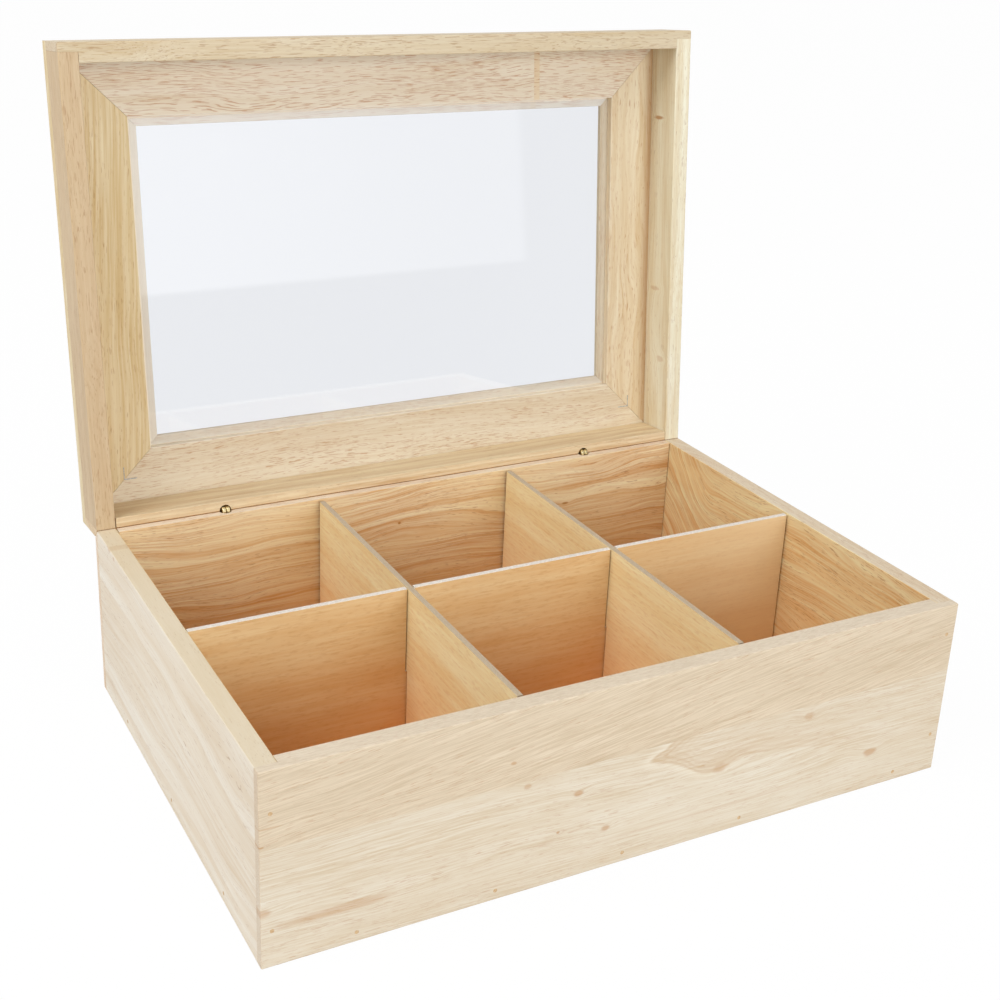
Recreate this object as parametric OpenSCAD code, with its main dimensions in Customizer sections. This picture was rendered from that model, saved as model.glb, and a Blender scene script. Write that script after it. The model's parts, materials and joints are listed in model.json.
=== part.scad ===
// Tea bag organizer box: a rubberwood box with a loose divider insert and a glazed lid on two
// barrel hinges. Millimetres. The origin is the middle of the footprint on the resting plane,
// +X points to the right, +Y to the back and +Z up. The lid is modelled closed on the box and
// then turned open about the hinge axis, so its pieces share the sizes of the body.

/* [Body] */
// Width of the body over its side boards
body_w = 330; // [260:1:420]
// Depth of the body from front face to back face
body_d = 227; // [190:1:320]
// Height of the body from the resting plane to its rim
body_h = 86; // [70:1:120]
// Thickness of the boards of the body and of the lid rim
board_t = 9; // [8.5:0.5:12]
// Thickness of the tongue that a rabbet leaves at each end of a front or back board
tongue_t = 4.2; // [3:0.1:5]
// Thickness of the bottom panel
bottom_t = 9; // [6:0.5:12]

/* [Lid] */
// Height of the rim boards of the lid
lid_rim_h = 22.5; // [19:0.5:40]
// Thickness of the mitred frame on the rim boards
frame_t = 6.5; // [5.5:0.5:10]
// Width of a frame rail from its outer edge to the edge of its lip
rail_w = 39; // [30:0.5:60]
// Width of the lip that the pane rests against
lip_w = 4.5; // [3:0.5:8]
// Depth of the rabbet in the underside of the frame
rabbet_h = 4; // [3:0.5:5]
// Thickness of the window pane
pane_t = 2; // [1.5:0.5:3]
// Gap between the pane and each side of its rabbet
pane_gap = 0.8; // [0.3:0.1:1.5]
// Gap between the rims of the closed lid and the body
rim_gap = 0.3; // [0.2:0.1:0.6]
// Angle from the closed lid to the open lid resting on its stop
open_angle = 95.3; // [92:0.1:100]
// Gap between the two stop faces of the open lid
stop_gap = 0.2; // [0.1:0.05:0.4]

/* [Hinges] */
// Distance between the two hinges
hinge_spacing = 204; // [120:1:240]
// Distance from the back face to the hinge axis
hinge_inset = 4.2; // [4:0.1:4.6]
// Diameter of a hinge barrel
barrel_d = 6; // [5:0.1:6.4]
// Length of a hinge barrel
barrel_len = 9; // [7:0.5:12]
// Distance from the hinge axis to the end of a barrel
barrel_setback = 3.6; // [3.6:0.1:4.5]
// Diameter of the round mouth that the knuckles turn in
mouth_d = 6.9; // [6.6:0.1:7.2]
// Diameter of a hinge knuckle
knuckle_d = 4; // [3:0.1:4.2]
// Width of one knuckle along the hinge axis
knuckle_w = 1.8; // [1.5:0.1:2]
// Gap between the two knuckles
knuckle_gap = 0.2; // [0.1:0.05:0.4]
// Diameter of the hinge pin
pin_d = 1.2; // [1:0.1:1.6]
// Radial clearance of the pin in the knuckle that turns on it
pin_clearance = 0.05; // [0.02:0.01:0.09]

/* [Dividers] */
// Thickness of a divider
divider_t = 3; // [2.5:0.5:4]
// Distance from the rim of the body down to the top of the dividers
divider_drop = 0.5; // [0.5:0.5:10]
// Distance between the two cross dividers
cross_spacing = 106.2; // [70:0.1:130]
// Sideways shift of the cross dividers from the middle of the box
cross_shift = -0.6; // [-5:0.1:5]
// Gap between the long divider and the left side board
long_gap_left = 0.4; // [0.3:0.1:2]
// Gap between the long divider and the right side board
long_gap_right = 0.8; // [0.3:0.1:2]
// Gap between a cross divider and the front board
cross_gap_front = 1.2; // [1:0.1:3]
// Gap between a cross divider and the back board
cross_gap_back = 2.8; // [1:0.1:4]
// Height of the half-lap above the bottom panel
lap_h = 35; // [20:1:45]
// Gap on each side of a divider in its slot
slot_gap = 0.4; // [0.2:0.1:0.8]

/* [Nails] */
// Diameter of a brad
brad_d = 1.2; // [1:0.1:1.6]
// Length of a brad
brad_len = 20; // [15:1:25]
// Diameter of the putty plug over a brad
plug_d = 2.6; // [2:0.1:3]
// Depth of the putty plug over a brad
plug_h = 1.5; // [1:0.1:2]
// Height of the lower corner brads above the resting plane
corner_brad_low = 18; // [15:1:25]
// Distance of the upper corner brads below the rim of the body
corner_brad_top = 16; // [10:1:25]
// Distance from the left end to the first brad of a bottom row
row_start = 38.5; // [30:0.5:60]
// Distance between the brads of a bottom row
row_pitch = 60; // [50:1:70]
// Distance from the right end to the last brad of a bottom row
row_end = 24.5; // [22:0.5:28]
// Distance between the three bottom brads of a side board
side_pitch = 70; // [40:1:75]
// Distance from the outer edges of the frame to a mitre nail
mitre_nail_inset = 20; // [14:1:24]
// Length of each leg of a mitre nail
mitre_nail_leg = 6.5; // [5:0.5:7]
// Thickness of a mitre nail
mitre_nail_t = 0.5; // [0.4:0.1:0.8]
// Depth that a mitre nail is driven into the frame
mitre_nail_h = 4; // [3:0.5:5]

/* [Hidden] */
$fn = 48;

// How far a cutting tool reaches past the face it cuts
over = 1;

// Edges of the body
left_x = -body_w / 2;
right_x = body_w / 2;
front_y = -body_d / 2;
back_y = body_d / 2;
side_len = body_d - 2 * tongue_t;
rabbet_d = board_t - tongue_t;

// Hinge axis, half way between the rims of the body and of the closed lid
pivot_y = back_y - hinge_inset;
pivot_z = body_h + rim_gap / 2;
stop_angle = open_angle / 2;
hinge_xs = [-hinge_spacing / 2, hinge_spacing / 2];
knuckle_span = 2 * knuckle_w + knuckle_gap;

// Heights of the closed lid
lid_z = body_h + rim_gap;
frame_z = lid_z + lid_rim_h;
lip_z = frame_z + rabbet_h;

// Opening of the rabbet in the frame
rabbet_w = body_w - 2 * (rail_w - lip_w);
rabbet_depth = body_d - 2 * (rail_w - lip_w);

// Dividers
divider_z = bottom_t;
divider_top = body_h - divider_drop;
lap_z = divider_z + lap_h;
cross_front = front_y + board_t + cross_gap_front;
cross_back = back_y - board_t - cross_gap_back;
long_y = (cross_front + cross_back) / 2;
long_left = left_x + board_t + long_gap_left;
long_right = right_x - board_t - long_gap_right;
cross_xs = [cross_shift - cross_spacing / 2, cross_shift + cross_spacing / 2];
slot_w = divider_t + 2 * slot_gap;

// Brads, as [x, z] on a front or back board and as y on a side board
corner_x = body_w / 2 - board_t / 2;
corner_zs = [corner_brad_low, body_h - corner_brad_top];
corner_spots = [for (x = [-corner_x, corner_x], z = corner_zs) [x, z]];
row_xs = concat([for (i = [0:3]) left_x + row_start + i * row_pitch], [right_x - row_end]);
row_spots = [for (x = row_xs) [x, bottom_t / 2]];
side_ys = [-side_pitch, 0, side_pitch];
lid_spots = [for (x = [-corner_x, corner_x]) [x, lid_z + lid_rim_h / 2]];

// Colours
pale_wood = "#e6d6bb";
warm_wood = "#dcc296";
divider_face = "#d8b076";
putty = "#d9c09a";
brass = "#c9b060";
steel = "#b9bcc0";
glass = [0.88, 0.93, 0.95, 0.35];

// ---- Placing ----

// Turns pieces of the closed lid to the open lid
module lid_open() {
    translate([0, pivot_y, pivot_z])
        rotate([-open_angle, 0, 0])
            translate([0, -pivot_y, -pivot_z])
                children();
}

// Places a nail shape, drawn along +Z from z = 0, into the front face at each spot
module into_front(spots) {
    for (spot = spots)
        translate([spot[0], front_y, spot[1]])
            rotate([-90, 0, 0])
                children();
}

// The same into the front and the back face
module into_front_and_back(spots) {
    into_front(spots) children();
    mirror([0, 1, 0])
        into_front(spots) children();
}

// Places a nail shape into the bottom edge of both side boards
module into_sides() {
    for (side = [0, 1], y = side_ys)
        mirror([side, 0, 0])
            translate([left_x, y, bottom_t / 2])
                rotate([0, 90, 0])
                    children();
}

// ---- Shapes that repeat ----

// Brad under its plug, drawn along +Z with its plug's face at z = 0
module brad() {
    translate([0, 0, plug_h])
        cylinder(h = brad_len, d = brad_d);
}

// Putty plug
module plug() {
    cylinder(h = plug_h, d = plug_d);
}

// Hole for a brad and its plug
module brad_hole() {
    brad();
    translate([0, 0, -over])
        cylinder(h = plug_h + over, d = plug_d);
}

// Full-width board on the front edge with a rabbet at each end for the side boards
module end_board(height, z) {
    translate([0, front_y, z])
        difference() {
            translate([left_x, 0, 0])
                cube([body_w, board_t, height]);
            for (side = [0, 1])
                mirror([side, 0, 0])
                    translate([left_x - over, tongue_t, -over])
                        cube([board_t + over, rabbet_d + over, height + 2 * over]);
        }
}

// Left side board between the tongues
module side_board(height, z) {
    translate([left_x, -side_len / 2, z])
        cube([board_t, side_len, height]);
}

// Wedge above the sloping stop face of the body, drawn about the hinge axis
module stop_wedge() {
    reach = (hinge_inset + over) / cos(stop_angle);
    normal = [sin(stop_angle), cos(stop_angle)];
    slope = [cos(stop_angle), -sin(stop_angle)];
    foot = -normal * stop_gap / 2;
    inner = foot - slope * over;
    outer = foot + slope * reach;
    rotate([90, 0, 90])
        linear_extrude(height = body_w + 2 * over, center = true)
            polygon([inner, outer, [outer[0], inner[1]]]);
}

// Bore for a barrel with its wider mouth, drawn downwards from the hinge axis
module barrel_bore() {
    translate([0, 0, -barrel_setback - barrel_len])
        cylinder(h = barrel_len + over, d = barrel_d);
    translate([0, 0, -barrel_setback])
        cylinder(h = barrel_setback + over, d = mouth_d);
}

// What the hinges and the stop take away from a back board, seen from the body's side
module hinge_cuts() {
    translate([0, pivot_y, pivot_z]) {
        stop_wedge();
        for (x = hinge_xs)
            translate([x, 0, 0])
                barrel_bore();
    }
}

// The same cuts on the lid's side of the closed rims
module lid_hinge_cuts() {
    translate([0, 0, 2 * pivot_z])
        mirror([0, 0, 1])
            hinge_cuts();
}

// Barrel with a flat tongue and a round knuckle on the hinge axis
// start: x where the knuckle begins, bore: diameter of its pin hole
module hinge_half(start, bore) {
    difference() {
        union() {
            translate([0, 0, -barrel_setback - barrel_len])
                cylinder(h = barrel_len, d = barrel_d);
            translate([start, -knuckle_d / 2, -barrel_setback])
                cube([knuckle_w, knuckle_d, barrel_setback]);
            translate([start, 0, 0])
                rotate([0, 90, 0])
                    cylinder(h = knuckle_w, d = knuckle_d);
        }
        translate([start - over, 0, 0])
            rotate([0, 90, 0])
                cylinder(h = knuckle_w + 2 * over, d = bore);
    }
}

module lower_barrel(x) {
    color(brass)
        translate([x, pivot_y, pivot_z])
            hinge_half(-knuckle_span / 2, pin_d);
}

module upper_barrel(x) {
    color(brass)
        lid_open()
            translate([x, pivot_y, pivot_z])
                mirror([0, 0, 1])
                    hinge_half(knuckle_gap / 2, pin_d + 2 * pin_clearance);
}

module hinge_pin(x) {
    color(steel)
        translate([x - knuckle_span / 2, pivot_y, pivot_z])
            rotate([0, 90, 0])
                cylinder(h = knuckle_span, d = pin_d);
}

// ---- Body ----

module front_board() {
    color(pale_wood)
        difference() {
            end_board(body_h, 0);
            into_front(corner_spots) brad_hole();
            into_front(row_spots) brad_hole();
        }
}

module back_board() {
    color(warm_wood)
        difference() {
            mirror([0, 1, 0])
                difference() {
                    end_board(body_h, 0);
                    into_front(corner_spots) brad_hole();
                    into_front(row_spots) brad_hole();
                }
            hinge_cuts();
        }
}

module left_board() {
    color(pale_wood)
        difference() {
            side_board(body_h, 0);
            into_front_and_back(corner_spots) brad_hole();
            into_sides() brad_hole();
            translate([0, pivot_y, pivot_z])
                stop_wedge();
        }
}

module right_board() {
    mirror([1, 0, 0])
        left_board();
}

module bottom_panel() {
    inner_w = body_w - 2 * board_t;
    inner_d = body_d - 2 * board_t;
    color(warm_wood)
        difference() {
            translate([-inner_w / 2, -inner_d / 2, 0])
                cube([inner_w, inner_d, bottom_t]);
            into_front_and_back(row_spots) brad_hole();
            into_sides() brad_hole();
        }
}

module corner_brads() {
    color(steel)
        into_front_and_back(corner_spots) brad();
}

module bottom_brads() {
    color(steel) {
        into_front_and_back(row_spots) brad();
        into_sides() brad();
    }
}

module brad_fillers() {
    color(putty) {
        into_front_and_back(corner_spots) plug();
        into_front_and_back(row_spots) plug();
        into_sides() plug();
    }
}

// ---- Dividers ----

module long_divider() {
    color(divider_face)
        difference() {
            translate([long_left, long_y - divider_t / 2, divider_z])
                cube([long_right - long_left, divider_t, divider_top - divider_z]);
            for (x = cross_xs)
                translate([x - slot_w / 2, long_y - divider_t / 2 - over, lap_z])
                    cube([slot_w, divider_t + 2 * over, divider_top - lap_z + over]);
        }
}

module cross_divider(x) {
    color(divider_face)
        difference() {
            translate([x - divider_t / 2, cross_front, divider_z])
                cube([divider_t, cross_back - cross_front, divider_top - divider_z]);
            translate([x - divider_t / 2 - over, long_y - slot_w / 2, divider_z - over])
                cube([divider_t + 2 * over, slot_w, lap_h + over]);
        }
}

// ---- Lid ----

module lid_front_board() {
    color(pale_wood)
        lid_open()
            difference() {
                end_board(lid_rim_h, lid_z);
                into_front(lid_spots) brad_hole();
            }
}

module lid_back_board() {
    color(pale_wood)
        lid_open()
            difference() {
                mirror([0, 1, 0])
                    difference() {
                        end_board(lid_rim_h, lid_z);
                        into_front(lid_spots) brad_hole();
                    }
                lid_hinge_cuts();
            }
}

module lid_left_board() {
    color(pale_wood)
        lid_open()
            difference() {
                side_board(lid_rim_h, lid_z);
                into_front_and_back(lid_spots) brad_hole();
                lid_hinge_cuts();
            }
}

module lid_right_board() {
    mirror([1, 0, 0])
        lid_left_board();
}

module lid_brads() {
    color(steel)
        lid_open()
            into_front_and_back(lid_spots) brad();
}

module lid_brad_fillers() {
    color(putty)
        lid_open()
            into_front_and_back(lid_spots) plug();
}

// Nail bent along both edges of a mitre, at the left front corner of the frame
module mitre_nail() {
    translate([left_x + mitre_nail_inset, front_y + mitre_nail_inset, 0])
        linear_extrude(height = mitre_nail_h)
            polygon([
                [0, 0],
                [mitre_nail_leg, 0],
                [mitre_nail_leg, mitre_nail_t],
                [mitre_nail_t, mitre_nail_t],
                [mitre_nail_t, mitre_nail_leg],
                [0, mitre_nail_leg]
            ]);
}

module four_mitre_nails() {
    translate([0, 0, frame_z])
        for (side = [0, 1], end = [0, 1])
            mirror([side, 0, 0])
                mirror([0, end, 0])
                    mitre_nail();
}

// What the pane and the nails take away from the frame
module frame_cuts() {
    translate([-rabbet_w / 2, -rabbet_depth / 2, frame_z - over])
        cube([rabbet_w, rabbet_depth, rabbet_h + over]);
    four_mitre_nails();
}

// Front rail of the frame, mitred at both ends
module front_rail() {
    difference() {
        translate([0, 0, frame_z])
            linear_extrude(height = frame_t)
                polygon([
                    [left_x, front_y],
                    [right_x, front_y],
                    [right_x - rail_w, front_y + rail_w],
                    [left_x + rail_w, front_y + rail_w]
                ]);
        frame_cuts();
    }
}

// Left stile of the frame, mitred at both ends
module left_stile() {
    difference() {
        translate([0, 0, frame_z])
            linear_extrude(height = frame_t)
                polygon([
                    [left_x, front_y],
                    [left_x + rail_w, front_y + rail_w],
                    [left_x + rail_w, back_y - rail_w],
                    [left_x, back_y]
                ]);
        frame_cuts();
    }
}

module frame_front_rail() {
    color(warm_wood)
        lid_open()
            front_rail();
}

module frame_back_rail() {
    color(warm_wood)
        lid_open()
            mirror([0, 1, 0])
                front_rail();
}

module frame_left_stile() {
    color(warm_wood)
        lid_open()
            left_stile();
}

module frame_right_stile() {
    color(warm_wood)
        lid_open()
            mirror([1, 0, 0])
                left_stile();
}

module window_pane() {
    pane_w = rabbet_w - 2 * pane_gap;
    pane_d = rabbet_depth - 2 * pane_gap;
    color(glass)
        lid_open()
            translate([-pane_w / 2, -pane_d / 2, lip_z - pane_t])
                cube([pane_w, pane_d, pane_t]);
}

module mitre_nails() {
    color(steel)
        lid_open()
            four_mitre_nails();
}

front_board();
back_board();
left_board();
right_board();
bottom_panel();
corner_brads();
bottom_brads();
brad_fillers();
lower_barrel(hinge_xs[0]);  // left_hinge_lower_barrel
lower_barrel(hinge_xs[1]);  // right_hinge_lower_barrel
hinge_pin(hinge_xs[0]);  // left_hinge_pin
hinge_pin(hinge_xs[1]);  // right_hinge_pin
long_divider();
cross_divider(cross_xs[0]);  // left_cross_divider
cross_divider(cross_xs[1]);  // right_cross_divider
lid_front_board();
lid_back_board();
lid_left_board();
lid_right_board();
frame_front_rail();
frame_back_rail();
frame_left_stile();
frame_right_stile();
window_pane();
mitre_nails();
lid_brads();
lid_brad_fillers();
upper_barrel(hinge_xs[0]);  // left_hinge_upper_barrel
upper_barrel(hinge_xs[1]);  // right_hinge_upper_barrel
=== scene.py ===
"""Looks of the tea bag organizer box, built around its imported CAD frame.

Every length is in metres in the frame of the CAD model: the origin is the middle of the
footprint on the resting plane, +X points to the right, +Y to the back and +Z up. The pieces of
the lid are worked out as on the closed lid and then turned open about the hinge axis.
"""

import json
import logging
import math
from dataclasses import dataclass
from enum import Enum
from functools import reduce

import bpy
import numpy as np
from mathutils import Matrix


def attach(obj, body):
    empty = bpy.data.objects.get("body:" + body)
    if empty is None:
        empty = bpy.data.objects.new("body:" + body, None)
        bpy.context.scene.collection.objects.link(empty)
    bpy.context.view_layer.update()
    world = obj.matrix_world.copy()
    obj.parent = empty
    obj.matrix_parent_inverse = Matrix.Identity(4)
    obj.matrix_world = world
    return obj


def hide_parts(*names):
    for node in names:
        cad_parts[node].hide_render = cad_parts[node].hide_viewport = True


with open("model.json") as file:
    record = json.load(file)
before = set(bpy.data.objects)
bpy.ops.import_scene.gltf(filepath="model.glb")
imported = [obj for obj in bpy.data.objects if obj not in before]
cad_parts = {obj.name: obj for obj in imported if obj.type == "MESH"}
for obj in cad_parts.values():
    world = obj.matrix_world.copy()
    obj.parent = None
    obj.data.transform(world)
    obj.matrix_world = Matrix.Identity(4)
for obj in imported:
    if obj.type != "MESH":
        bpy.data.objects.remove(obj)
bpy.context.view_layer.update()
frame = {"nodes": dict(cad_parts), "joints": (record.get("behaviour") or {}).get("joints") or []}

LOG = logging.getLogger("tea_box")
MM = 0.001
# A full turn in radians.
TURN = 6.283
# Straight pieces in a rounded corner, and points round a nail hole and round a barrel.
ARC_STEPS = 3
BORE_STEPS = 24
BARREL_STEPS = 40
# Share of a corner's radius by which the rims beside it are eased.
EASE_SHARE = 0.9
# How far a cutter stands out of the wood.
CUT_OVER = 1 * MM
# Angle between two faces from which their edge is sharp.
SHARP = math.radians(35)
WHITE = (1, 1, 1, 1)
# A shape as it is drawn, mirrored front to back, and mirrored left to right.
UPRIGHT = (1, 1, 1)
TO_FRONT = (1, -1, 1)
TO_LEFT = (-1, 1, 1)

Socket = bpy.types.NodeSocket
Value = Socket | float
Colour = Socket | str
Materials = dict[str, bpy.types.Material]


class Rides(Enum):
    """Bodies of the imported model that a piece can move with."""

    BOX = "box"
    INSERT = "divider_insert"
    LID = "lid"


class Slot(Enum):
    """Material slots of the record."""

    WOOD = "rubberwood"
    DIVIDER = "divider_board"
    PANE = "clear_pane"
    BRASS = "brass"
    STEEL = "nail_steel"
    PUTTY = "wood_filler"


class Along(Enum):
    """World axes that a shape's own axes, or a board's along, across and through, point to."""

    X_Y_Z = ((1, 0, 0), (0, 1, 0), (0, 0, 1))
    X_Z_Y = ((1, 0, 0), (0, 0, 1), (0, 1, 0))
    Y_X_Z = ((0, 1, 0), (1, 0, 0), (0, 0, 1))
    Y_Z_X = ((0, 1, 0), (0, 0, 1), (1, 0, 0))
    Z_X_Y = ((0, 0, 1), (1, 0, 0), (0, 1, 0))

    @property
    def rows(self) -> np.ndarray:
        """The three world directions as the rows of a matrix."""
        return np.array(self.value, float)


# ---- Surfaces ----


@dataclass
class Surface:
    """Points and faces of a closed shape.

    Args:
        points: array of n points, 3 numbers each.
        faces: lists of point numbers.
    """

    points: np.ndarray
    faces: list

    def placed(self, along: Along, origin: tuple = (0, 0, 0), flip: tuple = UPRIGHT) -> "Surface":
        """Carries the shape from its own axes into the world.

        Formula: world point = origin + flip * (own point x the three world directions).

        Args:
            along: world directions of the shape's own axes.
            origin: world place of the shape's own origin.
            flip: 1 or -1 for each world axis, to mirror the shape.

        Returns:
            The placed shape with its faces pointing outwards.
        """
        points = (self.points @ along.rows) * np.array(flip) + np.array(origin)
        return Surface(points, self.faces).outwards()

    def outwards(self) -> "Surface":
        """Turns all faces round where the enclosed volume comes out negative.

        Formula: six volumes = sum over fan triangles of a . (b x c).

        Returns:
            The shape with its faces pointing outwards.
        """
        fans = [(f[0], f[i], f[i + 1]) for f in self.faces for i in range(1, len(f) - 1)]
        a, b, c = self.points[np.array(fans)].transpose(1, 0, 2)
        if np.einsum("ij,ij->i", a, np.cross(b, c)).sum() >= 0:
            return self
        return Surface(self.points, [face[::-1] for face in self.faces])


def joined(surfaces: list[Surface]) -> Surface:
    """Several shapes as one, with their point numbers shifted past each other.

    Args:
        surfaces: the shapes.

    Returns:
        The one shape.
    """
    starts = np.cumsum([0] + [len(s.points) for s in surfaces]).tolist()
    faces = [[n + i for i in face] for n, s in zip(starts, surfaces) for face in s.faces]
    return Surface(np.concatenate([s.points for s in surfaces]), faces)


def carried(rings: np.ndarray, stations: np.ndarray) -> Surface:
    """Skin over an outline that is carried along its path.

    Formula: point (row, i) = (station of the row, outline point i of the row), and the rows are
    joined by quads, with one flat cap at each end.

    Args:
        rings: array of rows x n x 2, the outline at each row.
        stations: array of rows x n or rows x 1, how far along the path each point lies.

    Returns:
        The closed shape on its own axes (along, first, second).
    """
    rows, count = rings.shape[:2]
    far = np.broadcast_to(stations, (rows, count))[..., None]
    points = np.concatenate([far, rings], axis=2).reshape(-1, 3)
    row = count * np.arange(rows - 1)[:, None]
    here = np.arange(count)[None, :]
    after = (here + 1) % count
    quads = np.stack([row + here, row + after, row + count + after, row + count + here], -1)
    last = (rows - 1) * count
    caps = [list(range(count))[::-1], list(range(last, last + count))]
    return Surface(points, quads.reshape(-1, 4).tolist() + caps)


def turned(radii: list, heights: list, steps: int) -> Surface:
    """Shape turned on a lathe.

    Formula: point (row, i) = (height of the row, radius of the row x (cos, sin) of angle i).

    Args:
        radii: radius at each height, above 0.
        heights: place of each row along the axis.
        steps: number of points round the axis.

    Returns:
        The closed shape with its axis along its first axis.
    """
    angle = np.linspace(0, 2 * np.pi, steps, endpoint=False)
    circle = np.stack([np.cos(angle), np.sin(angle)], axis=1)
    return carried(np.array(radii)[:, None, None] * circle[None], np.array(heights)[:, None])


def rounded(corners: list, radii: list, eases: list) -> tuple[np.ndarray, np.ndarray]:
    """Rounds the corners of an outline.

    Formula: an arc of radius r starts r tan(turn / 2) before its corner and turns evenly from
    the incoming to the outgoing direction. A corner of radius 0 stays one point.

    Args:
        corners: n corners, anticlockwise.
        radii: radius at each corner.
        eases: ease of the edge that leaves each corner.

    Returns:
        The outline's points and the ease of the edge that leaves each point.
    """
    corners, radii, eases = (np.array(v, float) for v in (corners, radii, eases))
    out = np.roll(corners, -1, axis=0) - corners
    out /= np.linalg.norm(out, axis=1, keepdims=True)
    came = np.roll(out, 1, axis=0)
    turn = np.arctan2(came[:, 0] * out[:, 1] - came[:, 1] * out[:, 0], (came * out).sum(1))
    left = np.stack([-came[:, 1], came[:, 0]], axis=1)
    start = corners - came * (radii * np.tan(np.abs(turn) / 2))[:, None]
    arm = -left * (np.sign(turn) * radii)[:, None]
    angle = turn[:, None] * np.linspace(0, 1, ARC_STEPS + 1)[None]
    cos, sin = np.cos(angle), np.sin(angle)
    across = cos * arm[:, :1] - sin * arm[:, 1:]
    over = sin * arm[:, :1] + cos * arm[:, 1:]
    points = (start - arm)[:, None] + np.stack([across, over], axis=-1)
    bend = np.broadcast_to(np.maximum(np.roll(eases, 1), eases)[:, None], angle.shape).copy()
    bend[:, -1] = eases
    keep = (radii[:, None] > 0) | (np.arange(ARC_STEPS + 1)[None] == ARC_STEPS)
    return points[keep], bend[keep]


def inset(outline: np.ndarray, amounts: np.ndarray) -> np.ndarray:
    """Moves every edge of an outline inwards by its own amount.

    Formula: the shift x of a point solves x . a = p and x . b = q, with a and b the inward
    normals of the two edges that meet there and p and q their amounts.

    Args:
        outline: n points, anticlockwise.
        amounts: array of rows x n, the amount for the edge that leaves each point.

    Returns:
        Array of rows x n x 2 with one outline a row.
    """
    along = np.roll(outline, -1, axis=0) - outline
    along /= np.linalg.norm(along, axis=1, keepdims=True)
    b = np.stack([-along[:, 1], along[:, 0]], axis=1)
    a = np.roll(b, 1, axis=0)
    q, p = amounts, np.roll(amounts, 1, axis=1)
    det = a[:, 0] * b[:, 1] - a[:, 1] * b[:, 0]
    straight = np.abs(det) < 1e-6
    det = np.where(straight, 1.0, det)
    x = np.where(straight, b[:, 0] * q, (p * b[:, 1] - q * a[:, 1]) / det)
    y = np.where(straight, b[:, 1] * q, (q * a[:, 0] - p * b[:, 0]) / det)
    return outline[None] + np.stack([x, y], axis=-1)


def quarter() -> tuple[np.ndarray, np.ndarray]:
    """Inset share and height share of the rows of an eased rim, from the face inwards.

    Formula: inset = 1 - sin t and height = 1 - cos t for t from 0 to a quarter turn.

    Returns:
        The two arrays of shares.
    """
    t = np.linspace(0, np.pi / 2, ARC_STEPS + 1)
    return 1 - np.sin(t), 1 - np.cos(t)


def eased_slab(corners: list, radii: list, eases: list, low: float, high: float) -> Surface:
    """Flat piece of any outline whose rims are eased.

    Formula: the outline is carried from low to high, and over the ease at each end every edge
    moves inwards by its own ease x (1 - sin t) while the row moves by the ease x (1 - cos t).

    Args:
        corners: corners of the outline, anticlockwise.
        radii: radius at each corner.
        eases: ease at the rims of the edge that leaves each corner.
        low, high: where the two flat faces lie.

    Returns:
        The closed shape on its own axes (through, first, second).
    """
    outline, ease = rounded(corners, radii, eases)
    share, rise = quarter()
    rise = ease.max() * rise
    rows = np.concatenate([share, share[::-1]])
    stations = np.concatenate([low + rise, (high - rise)[::-1]])
    return carried(inset(outline, rows[:, None] * ease[None]), stations[:, None])


def box_corners(low_a: float, high_a: float, low_b: float, high_b: float) -> list:
    """The four corners of a rectangle, anticlockwise from its low corner."""
    return [(low_a, low_b), (high_a, low_b), (high_a, high_b), (low_a, high_b)]


# ---- Shader nodes ----


def linear(colour: str) -> tuple[float, ...]:
    """Linear red, green, blue and alpha of a colour.

    Args:
        colour: the colour, written like #rrggbb.

    Returns:
        Four numbers from 0 to 1.
    """
    part = np.array([int(colour[i : i + 2], 16) for i in (1, 3, 5)]) / 255
    part = np.where(part <= 0.04045, part / 12.92, ((part + 0.055) / 1.055) ** 2.4)
    return (*part.tolist(), 1.0)


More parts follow.
